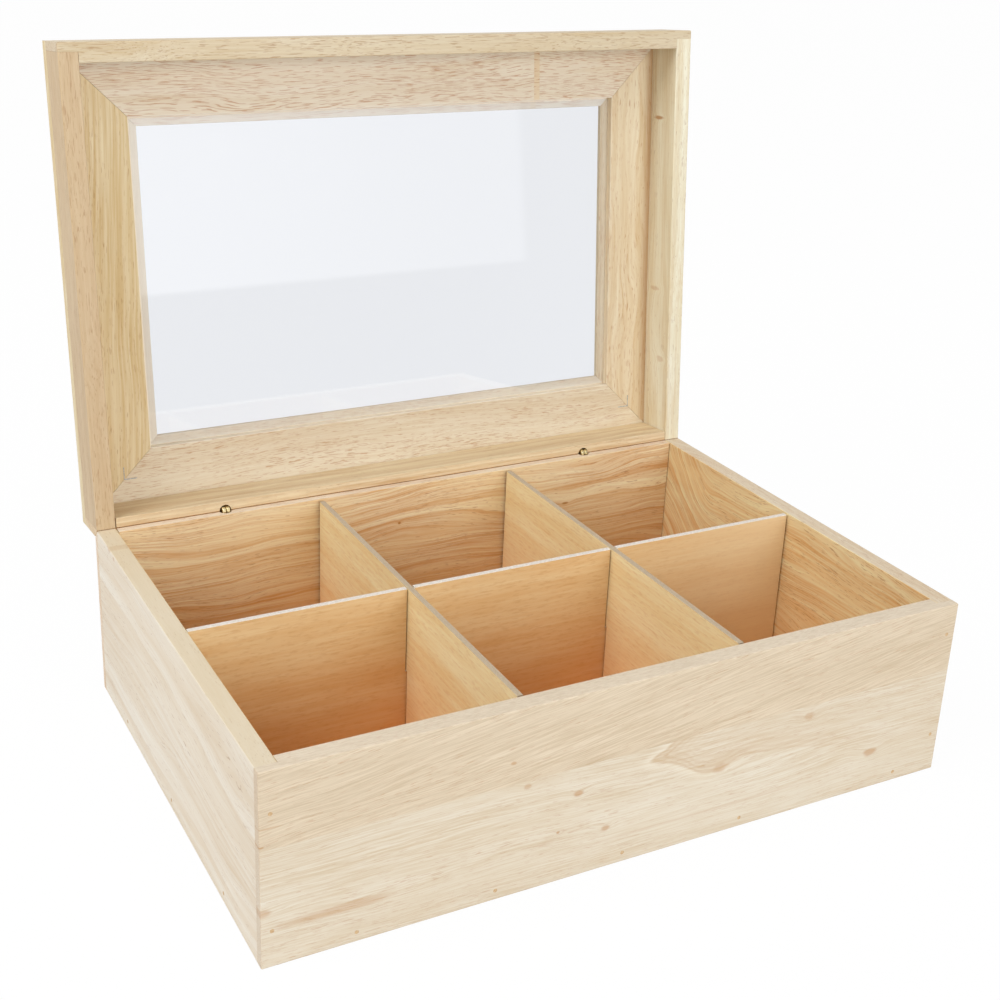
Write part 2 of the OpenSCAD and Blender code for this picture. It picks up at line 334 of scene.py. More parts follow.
class Sheet:
    """A node tree that is filled one node at a time, with the output socket returned."""

    def __init__(self, tree: bpy.types.NodeTree) -> None:
        """Empties the tree."""
        self.tree = tree
        tree.nodes.clear()

    def fill(self, socket: Socket, value: object) -> None:
        """Gives an input its value.

        Args:
            socket: the input.
            value: an output socket, which is linked, or a plain value.
        """
        if isinstance(value, Socket):
            self.tree.links.new(value, socket)
        else:
            socket.default_value = value

    def node(self, kind: str, inputs: dict | None = None, **settings: object) -> bpy.types.Node:
        """Adds a node.

        Args:
            kind: Blender's name of the node type after ShaderNode.
            inputs: value or socket for each input, by name or number.
            settings: properties of the node.

        Returns:
            The node.
        """
        node = self.tree.nodes.new("ShaderNode" + kind)
        for key, value in settings.items():
            setattr(node, key, value)
        for key, value in (inputs or {}).items():
            self.fill(node.inputs[key], value)
        return node

    def out(self, kind: str, inputs: dict | None = None, **settings: object) -> Socket:
        """First output of a new node."""
        return self.node(kind, inputs, **settings).outputs[0]

    def grain(self) -> Socket:
        """Place within the board in millimetres: along, across and through it."""
        return self.node("Attribute", attribute_name="grain").outputs["Vector"]

    def mark(self, name: str) -> Socket:
        """A number that the piece carries on its faces."""
        return self.node("Attribute", attribute_name=name).outputs["Fac"]

    def spot(self) -> Socket:
        """Place on the object, in metres."""
        return self.node("TexCoord").outputs["Object"]

    def split(self, vector: Socket) -> list[Socket]:
        """The three numbers of a vector."""
        return list(self.node("SeparateXYZ", {0: vector}).outputs)

    def sums(self, operation: str, *values: Value) -> Socket:
        """Math on one, two or three numbers or sockets."""
        return self.out("Math", dict(enumerate(values)), operation=operation)

    def product(self, *values: Value) -> Socket:
        """Product of numbers and sockets."""
        return reduce(lambda a, b: self.sums("MULTIPLY", a, b), values)

    def added(self, first: Socket, second: Socket) -> Socket:
        """Sum of two vectors."""
        return self.out("VectorMath", {0: first, 1: second})

    def stretch(self, vector: Socket, scale: tuple, shift: tuple = (0, 0, 0)) -> Socket:
        """The vector times a scale, plus a shift."""
        return self.out("VectorMath", {0: vector, 1: scale, 2: shift}, operation="MULTIPLY_ADD")

    def spread(
        self, value: Value, low: float, high: float, to_low: float = 0.0, to_high: float = 1.0
    ) -> Socket:
        """Maps low to high onto to_low to to_high, eased at both ends."""
        inputs = dict(enumerate((value, low, high, to_low, to_high)))
        return self.out("MapRange", inputs, interpolation_type="SMOOTHSTEP")

    def noise(self, vector: Socket, detail: float = 2.0, rough: float = 0.5) -> Socket:
        """Noise whose middle 0.4 is spread to 0 to 1."""
        inputs = {"Vector": vector, "Scale": 1.0, "Detail": detail, "Roughness": rough}
        return self.spread(self.out("TexNoise", inputs), 0.3, 0.7)

    def blend(self, factor: Value, first: Colour, second: Colour) -> Socket:
        """Mixes two colours.

        Args:
            factor: share of the second colour.
            first, second: colours, as #rrggbb or as sockets.

        Returns:
            The mixed colour.
        """
        node = self.node("Mix", data_type="RGBA")
        first, second = (linear(c) if isinstance(c, str) else c for c in (first, second))
        for number, value in ((0, factor), (6, first), (7, second)):
            self.fill(node.inputs[number], value)
        return node.outputs[2]

    def bump(self, height: Value, distance: float, strength: float) -> Socket:
        """Normal of a relief whose full height is the distance, in metres."""
        inputs = {"Height": height, "Distance": distance, "Strength": strength}
        return self.out("Bump", inputs)

    def mixed(self, share: Value, first: Socket, second: Socket) -> Socket:
        """Mixes two shaders, with a share of the second."""
        return self.out("MixShader", {0: share, 1: first, 2: second})

    def clear(self, colour: tuple = WHITE) -> Socket:
        """Shader that lets light of a colour pass."""
        return self.out("BsdfTransparent", {0: colour})

    def finish(self, shader: Socket, kind: str = "OutputMaterial") -> None:
        """Links the shader to the output."""
        self.fill(self.node(kind).inputs["Surface"], shader)


def new_material(name: str) -> tuple[bpy.types.Material, Sheet]:
    """An empty material and the sheet for its nodes.

    Args:
        name: name of the material.

    Returns:
        The material and its sheet.
    """
    material = bpy.data.materials.new(name)
    material.use_nodes = True
    return material, Sheet(material.node_tree)


# ---- Finishes ----

# What the wood leans to: painted shade deep in the box, knots and a band of painted shade, the
# flame's lines and halo, painted light on the ledge behind the pane, and end grain.
PAINTED_DEEP_SHADE = "#d47c34"
KNOT_AND_SHADE = "#b98348"
FLAME_LINE = "#bf9560"
FLAME_HALO = "#f4eddd"
PAINTED_LIP_TONE = "#fffaf0"
END_GRAIN = "#c9a183"
# What the foil leans to: painted shade deep in the box, painted light at its right-hand end, and
# its fibrous core.
PAINTED_FOIL_SHADE = "#ea741a"
PAINTED_END_LIGHT_TONE = "#f6e2ba"
CORE_FIBRE = "#a8937a"


@dataclass(frozen=True)
class Figure:
    """Knot or swirl in the face of a board, also used for a band of painted shade.

    Args:
        along, across: its place in the board, in millimetres.
        long, wide: its half length and half width, in millimetres.
        dark: how much it darkens the wood.
        aside: how far the grain steps aside for it, in millimetres.
        ragged: how much its outline strays.
        edge: share of its size from which its darkness falls off.
    """

    along: float
    across: float
    long: float
    wide: float
    dark: float
    aside: float
    ragged: float = 0.2
    edge: float = 0.45

    def masks(self, sheet: Sheet, grain: Socket, number: int) -> tuple[Socket, Socket]:
        """How far the grain steps aside, and how much the figure darkens the wood.

        Formula: a stretched circle whose outline strays by a noise. Its darkness falls off at
        the rim.

        Args:
            sheet: nodes of the material.
            grain: place within the board.
            number: picks the place in the noise.

        Returns:
            The step aside in millimetres and the darkness.
        """
        shift = (-self.along / self.long, -self.across / self.wide, 3.1 * number)
        away = sheet.stretch(grain, (1 / self.long, 1 / self.wide, 0.0), shift)
        inputs = {"Vector": away, "Scale": 0.9, "Detail": 3.0}
        stray = sheet.node("TexNoise", inputs).outputs["Color"]
        stray = sheet.stretch(stray, (2 * self.ragged,) * 3, (-self.ragged,) * 3)
        away = sheet.stretch(sheet.added(away, stray), (1.0, 1.0, 0.0))
        away = sheet.node("VectorMath", {0: away}, operation="LENGTH").outputs[1]
        step = sheet.spread(away, 0.0, 3.2, self.aside, 0.0)
        return step, sheet.spread(away, self.edge, 1.1, self.dark, 0.0)


@dataclass(frozen=True)
class Flame:
    """Nested arches of growth lines that open along the board, below a glue line.

    Args:
        along, across: place of the tip, in millimetres.
        drops: how far the lower arm lies below the tip, in millimetres, at even steps along.
        reach: length over which the drops are spread.
        lean: steps along for each step up of the upper arm.
        spacing: distance between its lines.
        dark, halo: how much it darkens the wood and pales it around the tip.
        ceiling: across place of the glue line above it.
        scale: millimetres that the curve of the drops counts as 1.
    """

    along: float
    across: float
    drops: tuple[float, ...]
    reach: float
    lean: float = 1.7
    spacing: float = 2.6
    dark: float = 0.34
    halo: float = 0.3
    ceiling: float = 52.6
    scale: float = 20.0

    def masks(self, sheet: Sheet, grain: Socket) -> tuple[Socket, Socket]:
        """How much the flame darkens the wood inside and pales it outside.

        Formula: away is the smaller of the height above the lower arm, which is a smooth curve
        through the drops, and the distance to the right of the slanting upper arm. Dark lines
        follow it inwards and fade along the board, and a pale halo lies outside.

        Args:
            sheet: nodes of the material.
            grain: place within the board.

        Returns:
            The dark and the pale mask.
        """
        inputs = {"Vector": sheet.stretch(grain, (0.06, 0.22, 0.0)), "Scale": 1.0, "Detail": 3.0}
        stray = sheet.node("TexNoise", inputs).outputs["Color"]
        to_tip = (-3.0 - self.along, -1.7 - self.across, 0.0)
        place = sheet.added(sheet.stretch(stray, (6.0, 3.4, 0.0), to_tip), grain)
        x, y, _ = sheet.split(place)
        below = sheet.sums("MULTIPLY_ADD", self.drop(sheet, x), self.scale, y)
        lean = sheet.product(sheet.sums("MAXIMUM", y, 0.0), -self.lean)
        beside = sheet.product(sheet.sums("ADD", x, lean), 0.6)
        away = sheet.sums("SMOOTH_MIN", below, beside, 1.5)
        line = sheet.sums("SINE", sheet.product(away, TURN / self.spacing))
        dark = sheet.product(
            sheet.spread(away, -0.8, 0.8),
            sheet.spread(line, -1.0, 1.0, 0.5, 1.0),
            sheet.spread(away, 1.0, 12.0, self.dark, 0.3 * self.dark),
            sheet.spread(x, 0.5 * self.reach, 1.6 * self.reach, 1.0, 0.25),
        )
        pale = sheet.product(
            sheet.spread(away, -5.0, -0.8),
            sheet.spread(away, -1.0, 0.4, self.halo, 0.0),
            sheet.spread(x, 0.1 * self.reach, 0.8 * self.reach, 1.0, 0.0),
        )
        under = sheet.sums("LESS_THAN", sheet.split(grain)[1], self.ceiling)
        return sheet.product(dark, under), sheet.product(pale, under)

    def drop(self, sheet: Sheet, along: Socket) -> Socket:
        """Drop of the lower arm as a smooth curve.

        Args:
            sheet: nodes of the material.
            along: distance along the board from the tip.

        Returns:
            The drop, as a share of the scale.
        """
        curve = sheet.node("FloatCurve", {"Value": sheet.product(along, 1 / self.reach)})
        line = curve.mapping.curves[0]
        steps = np.linspace(0, 1, len(self.drops)).tolist()
        line.points[0].location = (steps[0], self.drops[0] / self.scale)
        line.points[1].location = (steps[-1], self.drops[-1] / self.scale)
        for step, drop in zip(steps[1:-1], self.drops[1:-1]):
            line.points.new(step, drop / self.scale)
        curve.mapping.update()
        return curve.outputs[0]


@dataclass(frozen=True)
class Rubberwood:
    """Pale open-pored wood under satin lacquer, as a solid pattern that also shows end grain.

    Args:
        colours: pale and deep, between which the growth streaks lie, and tint of slow patches.
        seed: picks the place in the pattern.
        inner: the three colours of the faces that look into the box, where they differ: partly own
            tone, partly painted warm shade.
        pore_colour: colour of the pores.
        streak, fibre, patch: how much each pattern counts.
        fineness: fibres for each millimetre across.
        spacing: distance between growth streaks, in millimetres.
        pith: across and through place of the tree's middle, in millimetres.
        slant: steps across for each step along.
        stave_slant: further slant of each next stave.
        wander: how far the streaks stray, in millimetres.
        pores, pore_size, pore_depth: how many pores show, how big and how dark they are.
        seams: glue lines of a board of several staves, as (0 along or 1 across, place in mm).
        staves: pale and deep colour that every other stave leans to.
        figures: knots and swirls in the face, and bands of painted shade.
        flame: arches in the face.
        painted_lip_light: half width and height in millimetres within which painted light pales
            the pane's ledge, and how much.
        crease: colour of the painted shade line on the edge in the joint between body and lid,
            where it shows.
        painted_top_shading: how much painted light and shade make the faces that look up lean to
            which colour.
    """

    colours: tuple[str, str, str]
    seed: float
    inner: tuple[str, ...] = ()
    pore_colour: str = "#a67a52"
    streak: float = 0.35
    fibre: float = 0.4
    patch: float = 0.25
    fineness: float = 1.2
    spacing: float = 5.0
    pith: tuple[float, float] = (20.0, -60.0)
    slant: float = 0.0
    stave_slant: float = 0.0
    wander: float = 5.0
    pores: float = 0.5
    pore_size: float = 1.0
    pore_depth: float = 0.5
    seams: tuple[tuple[int, float], ...] = ()
    staves: tuple[str, ...] = ()
    figures: tuple[Figure, ...] = ()
    flame: Flame | None = None
    painted_lip_light: tuple[float, ...] = ()
    crease: str = ""
    painted_top_shading: tuple = ()

    @property
    def shift(self) -> tuple[float, ...]:
        """Place in the pattern where this board lies."""
        return (31.7 * self.seed, 17.3 * self.seed, 7.9 * self.seed)

    def build(self, name: str) -> bpy.types.Material:
        """Makes the material.

        Fine fibres, growth streaks, short dark pores and slow patches lie over each other, and
        all of them follow the flow of the grain.

        Args:
            name: name of the material.

        Returns:
            The material.
        """
        material, sheet = new_material(name)
        grain = sheet.grain()
        side = self.stave_side(sheet, grain)
        place = self.shifted_by_stave(sheet, grain, side)
        aside, spots = self.figure_masks(sheet, grain)
        flow = self.flow(sheet, place, aside, side)
        fine = (0.026 * self.fineness, self.fineness, self.fineness)
        fibre = sheet.noise(sheet.stretch(flow, fine, self.shift), 4.0, 0.6)
        colour = self.ground(sheet, place, side, self.depth(sheet, place, flow, fibre))
        if self.inner:
            # Painted shade: faces that look into the box grow darker and warmer towards the
            # bottom.
            colour = sheet.blend(self.painted_depth_shade_mask(sheet, grain), colour, PAINTED_DEEP_SHADE)
        pore = self.pore_mask(sheet, flow)
        colour = sheet.blend(sheet.product(pore, self.pore_depth), colour, self.pore_colour)
        if self.figures:
            # Knots, and on the right stile a band of painted shade.
            colour = sheet.blend(spots, colour, KNOT_AND_SHADE)
        if self.flame is not None:
            dark, pale_rim = self.flame.masks(sheet, grain)
            colour = sheet.blend(pale_rim, colour, FLAME_HALO)
            colour = sheet.blend(dark, colour, FLAME_LINE)
        if self.painted_lip_light:
            # Painted light: the ledge behind the pane is paler.
            colour = sheet.blend(self.painted_lip_light_mask(sheet, grain), colour, PAINTED_LIP_TONE)
        if self.crease:
            # Painted shade: a dark line along the crease between body and lid.
            colour = sheet.blend(sheet.mark("crease"), colour, self.crease)
        # Painted light and shade: faces that look up lean lighter or darker.
        if self.painted_top_shading:
            share, lean = self.painted_top_shading
            colour = sheet.blend(sheet.product(sheet.mark("painted_top_shading"), share), colour, lean)
        colour = sheet.blend(sheet.product(sheet.mark("end_grain"), 0.15), colour, END_GRAIN)
        relief = sheet.sums("MULTIPLY_ADD", pore, -1.0, sheet.product(fibre, 0.25))
        look = {
            "Base Color": colour,
            "Roughness": sheet.spread(fibre, 0.0, 1.0, 0.46, 0.56),
            "Specular IOR Level": 0.35,
            "Normal": sheet.bump(relief, 0.05 * MM, 0.5),
        }
        sheet.finish(sheet.out("BsdfPrincipled", look))
        return material

    def depth(self, sheet: Sheet, place: Socket, flow: Socket, fibre: Socket) -> Socket:
        """How deep the wood's colour is.

        Formula: streaks + fibres + slow patches, where the streaks are a one-dimensional noise
        of the distance from the pith.

        Args:
            sheet: nodes of the material.
            place: place in the pattern.
            flow: the same, moved with the grain.
            fibre: pattern of the fibres.

        Returns:
            The depth, about 0 to 1.
        """
        away = sheet.stretch(flow, (0.0, 1.0, 1.0), (0.0, -self.pith[0], -self.pith[1]))
        away = sheet.node("VectorMath", {0: away}, operation="LENGTH").outputs[1]
        ring = sheet.sums("MULTIPLY_ADD", away, 1 / self.spacing, 9.1 * self.seed)
        inputs = {"W": ring, "Scale": 1.0, "Detail": 4.0, "Roughness": 0.62}
        streak = sheet.spread(sheet.out("TexNoise", inputs, noise_dimensions="1D"), 0.28, 0.72)
        slow = sheet.stretch(place, (0.01, 0.045, 0.045), self.shift[::-1])
        depth = sheet.product(streak, self.streak)
        depth = sheet.sums("MULTIPLY_ADD", fibre, self.fibre, depth)
        return sheet.sums("MULTIPLY_ADD", sheet.noise(slow, 3.0), self.patch, depth)

    def ground(self, sheet: Sheet, place: Socket, side: Value, depth: Socket) -> Socket:
        """Colour of the wood without its pores and figures.

        Args:
            sheet: nodes of the material.
            place: place in the pattern.
            side: number of the stave.
            depth: how deep the colour is.

        Returns:
            The colour.
        """
        pale, deep, tint = self.colours
        # Faces that look into the box take the inner palette: partly the wood's own tone, partly
        # painted warm shade.
        if self.inner:
            inner = sheet.mark("inner")
            pairs = zip(self.colours, self.inner)
            pale, deep, tint = (sheet.blend(inner, a, b) for a, b in pairs)
        colour = sheet.blend(depth, pale, deep)
        slow = sheet.noise(sheet.stretch(place, (0.012, 0.06, 0.06), (5.0, 9.0, 2.0)), 2.0)
        colour = sheet.blend(sheet.product(slow, 0.45), colour, tint)
        if self.seams:
            odd = sheet.product(sheet.sums("MODULO", side, 2.0), 0.6)
            colour = sheet.blend(odd, colour, sheet.blend(depth, *self.staves))
        return colour

    @staticmethod
    def painted_depth_shade_mask(sheet: Sheet, grain: Socket) -> Socket:
        """How much painted shade darkens and warms the walls deep down inside the box."""
        down = sheet.spread(sheet.split(grain)[1], 5.0, 75.0, 0.3, 0.0)
        return sheet.product(sheet.mark("inner"), down)

    def painted_lip_light_mask(self, sheet: Sheet, grain: Socket) -> Socket:
        """How much painted light pales the wood: only on the ledge that the pane rests on.

        Args:
            sheet: nodes of the material.
            grain: place within the board.

        Returns:
            The share.
        """
        half, height, share = self.painted_lip_light
        _, across, through = sheet.split(grain)
        inside = sheet.sums("LESS_THAN", sheet.sums("ABSOLUTE", across), half)
        return sheet.product(inside, sheet.sums("LESS_THAN", through, height), share)

    def stave_side(self, sheet: Sheet, grain: Socket) -> Value:
        """Number of seams below the place: 0 on the first stave, 1 on the next and so on.

        Args:
            sheet: nodes of the material.
            grain: place within the board.

        Returns:
            The number.
        """
        side = 0.0
        for axis, line in self.seams:
            beyond = sheet.sums("GREATER_THAN", sheet.split(grain)[axis], line)
            side = sheet.sums("ADD", side, beyond)
        return side

    def shifted_by_stave(self, sheet: Sheet, grain: Socket, side: Value) -> Socket:
        """The place, far away in the pattern for every further stave.

        Args:
            sheet: nodes of the material.
            grain: place within the board.
            side: number of the stave.

        Returns:
            The place in the pattern.
        """
        if not self.seams:
            return grain
        far = [sheet.product(side, step) for step in (211.0, 43.0, 17.0)]
        return sheet.added(grain, sheet.out("CombineXYZ", dict(enumerate(far))))

    def figure_masks(self, sheet: Sheet, grain: Socket) -> tuple[Value, Value]:
        """What all the figures do together.

        Args:
            sheet: nodes of the material.
            grain: place within the board.

        Returns:
            How far the grain steps aside, and how much the wood is darkened.
        """
        aside, spots = 0.0, 0.0
        for number, figure in enumerate(self.figures):
            step, dark = figure.masks(sheet, grain, number)
            aside = sheet.sums("ADD", aside, step)
            spots = sheet.sums("MAXIMUM", spots, dark)
        return aside, spots

    def flow(self, sheet: Sheet, place: Socket, aside: Value, side: Value) -> Socket:
        """The place, moved across so that the grain slants, strays and steps aside.

        Args:
            sheet: nodes of the material.
            place: place in the pattern.
            aside: how far the grain steps aside.
            side: number of the stave.

        Returns:
            The moved place.
        """
        stray = sheet.noise(sheet.stretch(place, (0.006, 0.022, 0.022), self.shift), 2.0)
        ripple = sheet.noise(sheet.stretch(place, (0.03, 0.11, 0.11), self.shift), 2.0)
        lift = sheet.sums("MULTIPLY_ADD", stray, 2 * self.wander, aside)
        lift = sheet.sums("MULTIPLY_ADD", ripple, 0.2 * self.wander, lift)
        slant = sheet.sums("MULTIPLY_ADD", side, self.stave_slant, self.slant)
        lift = sheet.sums("MULTIPLY_ADD", sheet.split(place)[0], slant, lift)
        return sheet.added(place, sheet.out("CombineXYZ", {1: lift}))

    def pore_mask(self, sheet: Sheet, flow: Socket) -> Socket:
        """Short pores: the crests of a noise that is drawn out along the grain.

        Args:
            sheet: nodes of the material.
            flow: place in the pattern, moved with the grain.

        Returns:
            1 in a pore and 0 beside it.
        """
        along, across = 0.18 / self.pore_size, 3.0 / self.pore_size
        drawn = sheet.stretch(flow, (along, across, across), self.shift)
        dashes = sheet.out("TexNoise", {"Vector": drawn, "Scale": 1.0, "Detail": 1.0})
        crowd = sheet.noise(sheet.stretch(flow, (0.015, 0.1, 0.1), self.shift), 3.0)
        crest = sheet.sums("MULTIPLY_ADD", crowd, 0.08, dashes)
        start = 0.73 - 0.12 * self.pores
        return sheet.spread(crest, start, start + 0.06)


@dataclass(frozen=True)
class BeechFoil:
    """Thin fibreboard with a beech-coloured foil on both faces and pale cut edges.

    Args:
        seed: picks the place in the pattern.
        pale, deep: colours of the foil's slow streaks.
        fleck: colour of its short rays.
        core: colour of the cut edges.
        flecks: how much the rays show.
        painted_end_light: how much paler painted light makes its right-hand end.
    """

    seed: float
    pale: str = "#faedc1"
    deep: str = "#edcf97"
    fleck: str = "#cf9658"
    core: str = "#cdbba0"
    flecks: float = 0.25
    painted_end_light: float = 0.0

    def build(self, name: str) -> bpy.types.Material:
        """Makes the material.

        Slow streaks along the board, short darker rays from the crests of a drawn-out noise,
        painted shade towards the bottom, painted light at the right-hand end where it is asked
        for, and the fibrous core wherever the end_grain attribute marks a cut edge.

        Args:
            name: name of the material.

        Returns:
            The material.
        """
        material, sheet = new_material(name)
        grain = sheet.grain()
        shift = (29.0 * self.seed, 13.0 * self.seed, 5.0 * self.seed)
        slow = sheet.noise(sheet.stretch(grain, (0.008, 0.09, 0.09), shift), 3.0, 0.6)
        fine = sheet.noise(sheet.stretch(grain, (0.04, 0.7, 0.7), shift), 3.0)
        depth = sheet.sums("MULTIPLY_ADD", fine, 0.4, sheet.product(slow, 0.5))
        colour = sheet.blend(depth, self.pale, self.deep)
        drawn = sheet.stretch(grain, (0.22, 1.1, 1.1), shift)
        ray = sheet.out("TexNoise", {"Vector": drawn, "Scale": 1.0})
        colour = sheet.blend(sheet.spread(ray, 0.5, 0.72, 0.0, self.flecks), colour, self.fleck)
        along, across, _ = sheet.split(grain)
        # Painted shade: the foil grows darker and warmer towards the bottom of the box.
        colour = sheet.blend(sheet.spread(across, 5.0, 80.0, 0.33, 0.0), colour, PAINTED_FOIL_SHADE)
        # Painted light: the board grows paler towards its right-hand end.
        if self.painted_end_light:
            far = sheet.spread(along, 30.0, 160.0, 0.0, self.painted_end_light)
            colour = sheet.blend(far, colour, PAINTED_END_LIGHT_TONE)
        fuzz = sheet.noise(sheet.stretch(grain, (0.8, 2.5, 2.5), shift), 4.0, 0.7)
        core = sheet.blend(sheet.product(fuzz, 0.4), self.core, CORE_FIBRE)
        cut = sheet.mark("end_grain")
        look = {
            "Base Color": sheet.blend(cut, colour, core),
            "Roughness": sheet.spread(cut, 0.0, 1.0, 0.42, 0.85),
            "Specular IOR Level": 0.4,
            "Normal": sheet.bump(sheet.product(fuzz, cut), 0.15 * MM, 0.8),
        }
        sheet.finish(sheet.out("BsdfPrincipled", look))
        return material


@dataclass(frozen=True)
class Metal:
    """Small bright metal part with fine wear.

    Args:
        bright, dull: colours of the clean and of the tarnished metal.
        rough: roughness of the clean metal.
    """

    bright: str
    dull: str
    rough: float

    def build(self, name: str) -> bpy.types.Material:
        """Makes the material: a slow tarnish and a fine roughness that varies over the part.

        Args:
            name: name of the material.

        Returns:
            The material.
        """
        material, sheet = new_material(name)
        spot = sheet.spot()
        tarnish = sheet.noise(sheet.stretch(spot, (700.0, 700.0, 700.0)), 3.0)
        fine = sheet.noise(sheet.stretch(spot, (4000.0, 4000.0, 4000.0)), 2.0)
        look = {
            "Base Color": sheet.blend(tarnish, self.bright, self.dull),
            "Metallic": 1.0,
            "Roughness": sheet.spread(tarnish, 0.0, 1.0, self.rough, self.rough + 0.2),
            "Normal": sheet.bump(fine, 0.01 * MM, 0.4),
        }
        sheet.finish(sheet.out("BsdfPrincipled", look))
        return material


@dataclass(frozen=True)
class ClearPane:
    """Clear pane with a faint cool cast and a trace of dust.

    Args:
        cast: colour of what shows through it.
        least: share of gloss where it is seen straight on.
    """

    cast: str = "#f9fafc"
    least: float = 0.045

    def build(self, name: str) -> bpy.types.Material:
        """Makes the material: clear with a mirror-like gloss, and dust that blurs it a little.

        The gloss is alike from both sides: least + (1 - least) x (1 - cos t) to the fifth, where
        t is the angle of view. Rays that light other pieces pass unchanged.

        Args:
            name: name of the material.

        Returns:
            The material.
        """
        material, sheet = new_material(name)
        dust = sheet.noise(sheet.stretch(sheet.spot(), (60.0, 60.0, 60.0)), 5.0, 0.7)
        inputs = {"Color": WHITE, "Roughness": sheet.spread(dust, 0.0, 1.0, 0.0, 0.03)}
        gloss = sheet.out("BsdfGlossy", inputs)
        facing = sheet.node("LayerWeight", {"Blend": 0.5}).outputs["Facing"]
        edge = sheet.sums("POWER", facing, 5.0)
        share = sheet.sums("MULTIPLY_ADD", edge, 1.0 - self.least, self.least)
        pane = sheet.mixed(share, sheet.clear(linear(self.cast)), gloss)
        path = sheet.node("LightPath").outputs
        lit = sheet.sums("MAXIMUM", path["Is Shadow Ray"], path["Is Diffuse Ray"])
        sheet.finish(sheet.mixed(lit, pane, sheet.clear()))
        return material


@dataclass(frozen=True)
class Putty:
    """Wood filler over a sunk nail.

    Args:
        pale, deep: colours of the filler.
    """

    pale: str = "#d9bd96"
    deep: str = "#c09a6e"

    def build(self, name: str) -> bpy.types.Material:
        """Makes the material: a speckled matt filler with a rough sanded face.

        Args:
            name: name of the material.

        Returns:
            The material.
        """
        material, sheet = new_material(name)
        speckle = sheet.noise(sheet.stretch(sheet.spot(), (1800.0, 1800.0, 1800.0)), 3.0)
        look = {
            "Base Color": sheet.blend(speckle, self.pale, self.deep),
            "Roughness": 0.8,
            "Normal": sheet.bump(speckle, 0.05 * MM, 0.5),
        }
        sheet.finish(sheet.out("BsdfPrincipled", look))
        return material


# ---- Pieces ----


@dataclass(frozen=True)
class Hinge:
    """The lid's hinge as the record states it.

    Args:
        pivot: point on the axis.
        opening: angle from closed to open, in radians.
    """

    pivot: tuple[float, float, float]
    opening: float

    @classmethod
    def from_frame(cls) -> "Hinge":
        """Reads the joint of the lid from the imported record."""
        joint = next(j for j in frame["joints"] if j["name"] == "lid_hinge")
        return cls(tuple(joint["pos_m"]), math.radians(joint["range_deg"][1]))

    def opened(self, points: np.ndarray) -> np.ndarray:
        """Turns points of the closed lid to the open lid.

        Formula: a turn by minus the opening about the X direction through the pivot.

        Args:
            points: array of n points.

        Returns:
            The turned points.
        """
        c, s = math.cos(self.opening), math.sin(self.opening)
        turn = np.array([[1, 0, 0], [0, c, -s], [0, s, c]])
        pivot = np.array(self.pivot)
        return (points - pivot) @ turn + pivot


HINGE = Hinge.from_frame()


